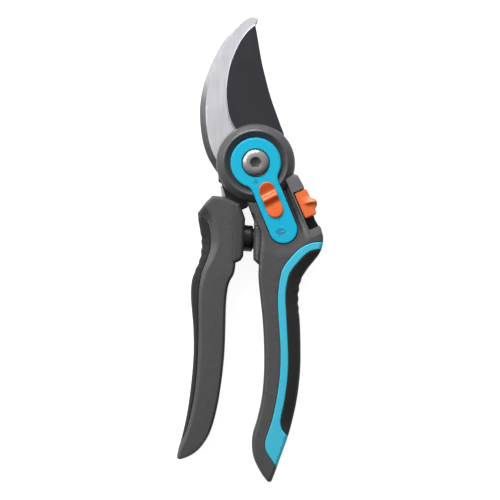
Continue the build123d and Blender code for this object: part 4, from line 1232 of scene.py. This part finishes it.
def hook_front(P):
    o, _ = near(P, hook_out); i, _ = near(P, hook_in)
    r = np.hypot(P[:, 0], P[:, 1])
    main = sstep(r, 15.2, 19.0)
    w = np.interp(P[:, 1], [-5, 10, 35, 50, 66], [3.0, 2.9, 2.6, 1.9, 0.0])
    tip_fade = 1 - sstep(P[:, 1], 61.0, 67.0)
    z = 8.7 - main * 0.62 * np.maximum(0, w - o)
    z -= main * tip_fade * 0.7 * np.clip(1 - i / 0.5, 0, 1)
    return z - rnd(near(P, hook_poly, True)[0], 0.12) * main


# Marks the bevel band that takes the darker steel with painted shade and painted highlight.
def hook_bevel_painted_mask(c):
    o, _ = near(c, hook_out)
    r = np.hypot(c[:, 0], c[:, 1])
    w = np.interp(c[:, 1], [-5, 10, 35, 50, 66], [3.0, 2.9, 2.6, 1.9, 0.0])
    return ((o < w) & (r > 15.1)).astype(int)


tt = np.gradient(hook_out, axis=0); tt /= np.linalg.norm(tt, axis=1, keepdims=True)
wv = np.interp(hook_out[:, 1], [-5, 10, 35, 50, 66], [3.0, 2.9, 2.6, 1.9, 0.0])
nn = np.c_[-tt[:, 1], tt[:, 0]]
bevel_line = hook_out + nn * wv[:, None]
bevel_line = bevel_line[(bevel_line[:, 1] < 62.0) & (np.hypot(bevel_line[:, 0], bevel_line[:, 1]) > 15.3) & inside(bevel_line, hook_poly)
                        & (near(bevel_line, hook_poly, True)[0] > 0.6)]
hk = relief("counter_blade_hook", hook_poly, hook_front, lambda P: 5.5 + rnd(near(P, hook_poly, True)[0], 0.3),
            [M_blade, M_bevel_painted_light], grid=1.6, edge=0.45, offsets=(0.06, 0.18, 0.4, 0.52, 0.8, 1.3), wall=3, creases=[bevel_line],
            matfn=hook_bevel_painted_mask, angle=18)
place(hk, "root", ["counter_blade"])
hub = relief("counter_blade_hub", chain(arc((0, 0), 15.0, 0, 358)), lambda P: 8.7 - rnd(near(P, arc((0, 0), 15.0, 0, 360))[0], 0.15),
             lambda P: np.full(len(P), 5.5), [M_blade], grid=2.0, edge=0.7, offsets=(0.08, 0.2), wall=2,
             holes=[arc((0, 0), 6.0, 0, 354, 0.5)], angle=30)
place(hub, "root", ["counter_blade"])
tg = relief("counter_blade_tang", HOOK_TANG, lambda P: np.full(len(P), 8.65), lambda P: np.full(len(P), 5.55), [M_blade],
            grid=3.0, edge=1.0, offsets=(0.2,), wall=2)
place(tg, "root", ["counter_blade"])

# ------------------------------------------------------------------ bolt
def hexr(af, a):
    a = a % (math.pi / 3)
    return af / 2 / math.cos(a - math.pi / 6)


BOLT = [(0, 0.9), (3.4, 0.9), (4.0, 1.5), (4.0, 16.5), (6.2, 16.52), (6.2, 17.55), (6.13, 17.8), (5.95, 18.03), (5.6, 18.27),
        (5.1, 18.5), (4.4, 18.72), (3.6, 18.86), (2.85, 18.9), (2.62, 18.86), (2.3, 18.45), (2.1, 18.3), (2.09, 16.35), (1.6, 16.25), (0, 15.9)]
socket_rows = {14: 4.45, 15: 4.06, 16: 4.0}


def bolt_shape(k, r, a):
    if k in socket_rows:
        return hexr(socket_rows[k], a)
    return r


# The socket walls and floor take the darker steel, which is painted shade.
bt = lathe("pivot_bolt_turned", BOLT, [M_bolt, M_socket_painted_shade], 96, shape=bolt_shape, angle=30,
           fm=[0] * 15 + [1] * (len(BOLT) - 16))
place(bt, "root", ["pivot_bolt"])

# ------------------------------------------------------------------ spring housing
def on_arc(deg, r=34.65):
    a = math.radians(270 + deg)
    return (r * math.cos(a), r * math.sin(a))


def shell_profile(r_out, r_in, seat, lip=0.6, n=26):
    p = [(0.0, r_in + 0.25), (0.0, r_out - lip), (0.012, r_out - lip * 0.45), (0.03, r_out - 0.1), (0.045, r_out)]
    p += [(f, r_out) for f in np.linspace(0.09, 0.96, n)]
    p += [(0.985, r_out - 0.15), (1.0, r_out - 0.7), (1.0, 0.0)]
    q = [(seat, 0.0), (seat, r_in)] + [(f, r_in) for f in np.linspace(seat - 0.06, 0.05, n)] + [(0.02, r_in)]
    return p, q


def closed_cup(name, d0, d1, r_out, r_in, seat, mats, n=32):
    import bmesh
    p, q = shell_profile(r_out, r_in, seat)
    outer = [(0.0, r_in)] + p[1:-1] + [(1.0, 0.0)]
    inner = [(0.0, r_in)] + q[::-1][1:-1] + [(seat, 0.0)]
    rows, verts, faces = [], [], []

    def add(prof, reuse=None):
        rows = []
        for i, (f, rad) in enumerate(prof):
            if i == 0 and reuse is not None:
                rows.append(reuse); continue
            deg = d0 + (d1 - d0) * f
            c = np.array([*on_arc(deg), 9.0]); rdir = np.array([*on_arc(deg, 1.0), 0.0])
            if rad < 1e-6:
                rows.append([len(verts)]); verts.append(c)
            else:
                r0 = len(verts)
                for k in range(n):
                    a = 2 * math.pi * k / n
                    verts.append(c + rad * (math.cos(a) * rdir + math.sin(a) * np.array([0, 0, 1.0])))
                rows.append(list(range(r0, r0 + n)))
        for a_, b_ in zip(rows[:-1], rows[1:]):
            for k in range(n):
                j = (k + 1) % n
                if len(b_) == 1:
                    faces.append((a_[k], a_[j], b_[0]))
                else:
                    faces.append((a_[k], a_[j], b_[j], b_[k]))
        return rows
    first = add(outer)
    add(inner, first[0])
    ob = new_object(name, np.array(verts) * MM, faces, mats, None, 40)
    fix_normals(ob)
    return ob


sc = closed_cup("spring_cup_left", -2.3, -29.8, 6.05, 5.1, (28.8 - 3.3) / 27.5, [M_black])
place(sc, "left_handle", ["spring_cup"])
PL0, PL1 = 7.0, -28.2
pl_seat = 0.05
sp = closed_cup("spring_plunger_right", PL1, PL0, 4.75, 4.2, 1 - pl_seat, [M_black])
place(sp, "root", ["spring_plunger"])

sa = np.array([*on_arc(7.0 - 2.2), 9.0]); sb_ = np.array([*on_arc(-28.8 + 2.4), 9.0])
mid_shift = np.array([math.sin(math.radians(-13.5)) * 1.0, -math.cos(math.radians(-13.5)), 0]) * 0.62
ax = (sb_ - sa); L = np.linalg.norm(ax); ax /= L
e1 = np.cross(ax, [0, 0, 1.0]); e1 /= np.linalg.norm(e1); e2 = np.cross(ax, e1)
turns = 7.5
path = []
for k in range(int(turns * 40) + 1):
    f = k / (turns * 40)
    a = 2 * math.pi * turns * f
    c = sa + mid_shift + ax * L * f
    path.append(c + 2.6 * (math.cos(a) * e1 + math.sin(a) * e2))
cs = swept("spring_coil", path, 0.55, [M_spring], 12)
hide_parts("coil_spring")
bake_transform(cs)

# ------------------------------------------------------------------ finishes of the pieces kept from the CAD
KEEP = {"pivot_washer": M_small, "pivot_bushing": M_small, "pivot_nut": M_zinc, "counter_blade_pins": M_small,
        "housing_screws": M_zinc, "lock_bar": M_small, "lock_detent": M_small, "selector_stop_pin": M_small,
        "selector_detents": M_small, "neck_bracket": M_alloy, "blade_rivets": M_small}
for k, m in KEEP.items():
    me = NODES[k].data
    if len(me.materials):
        for i in range(len(me.materials)):
            me.materials[i] = m
    else:
        me.materials.append(m)
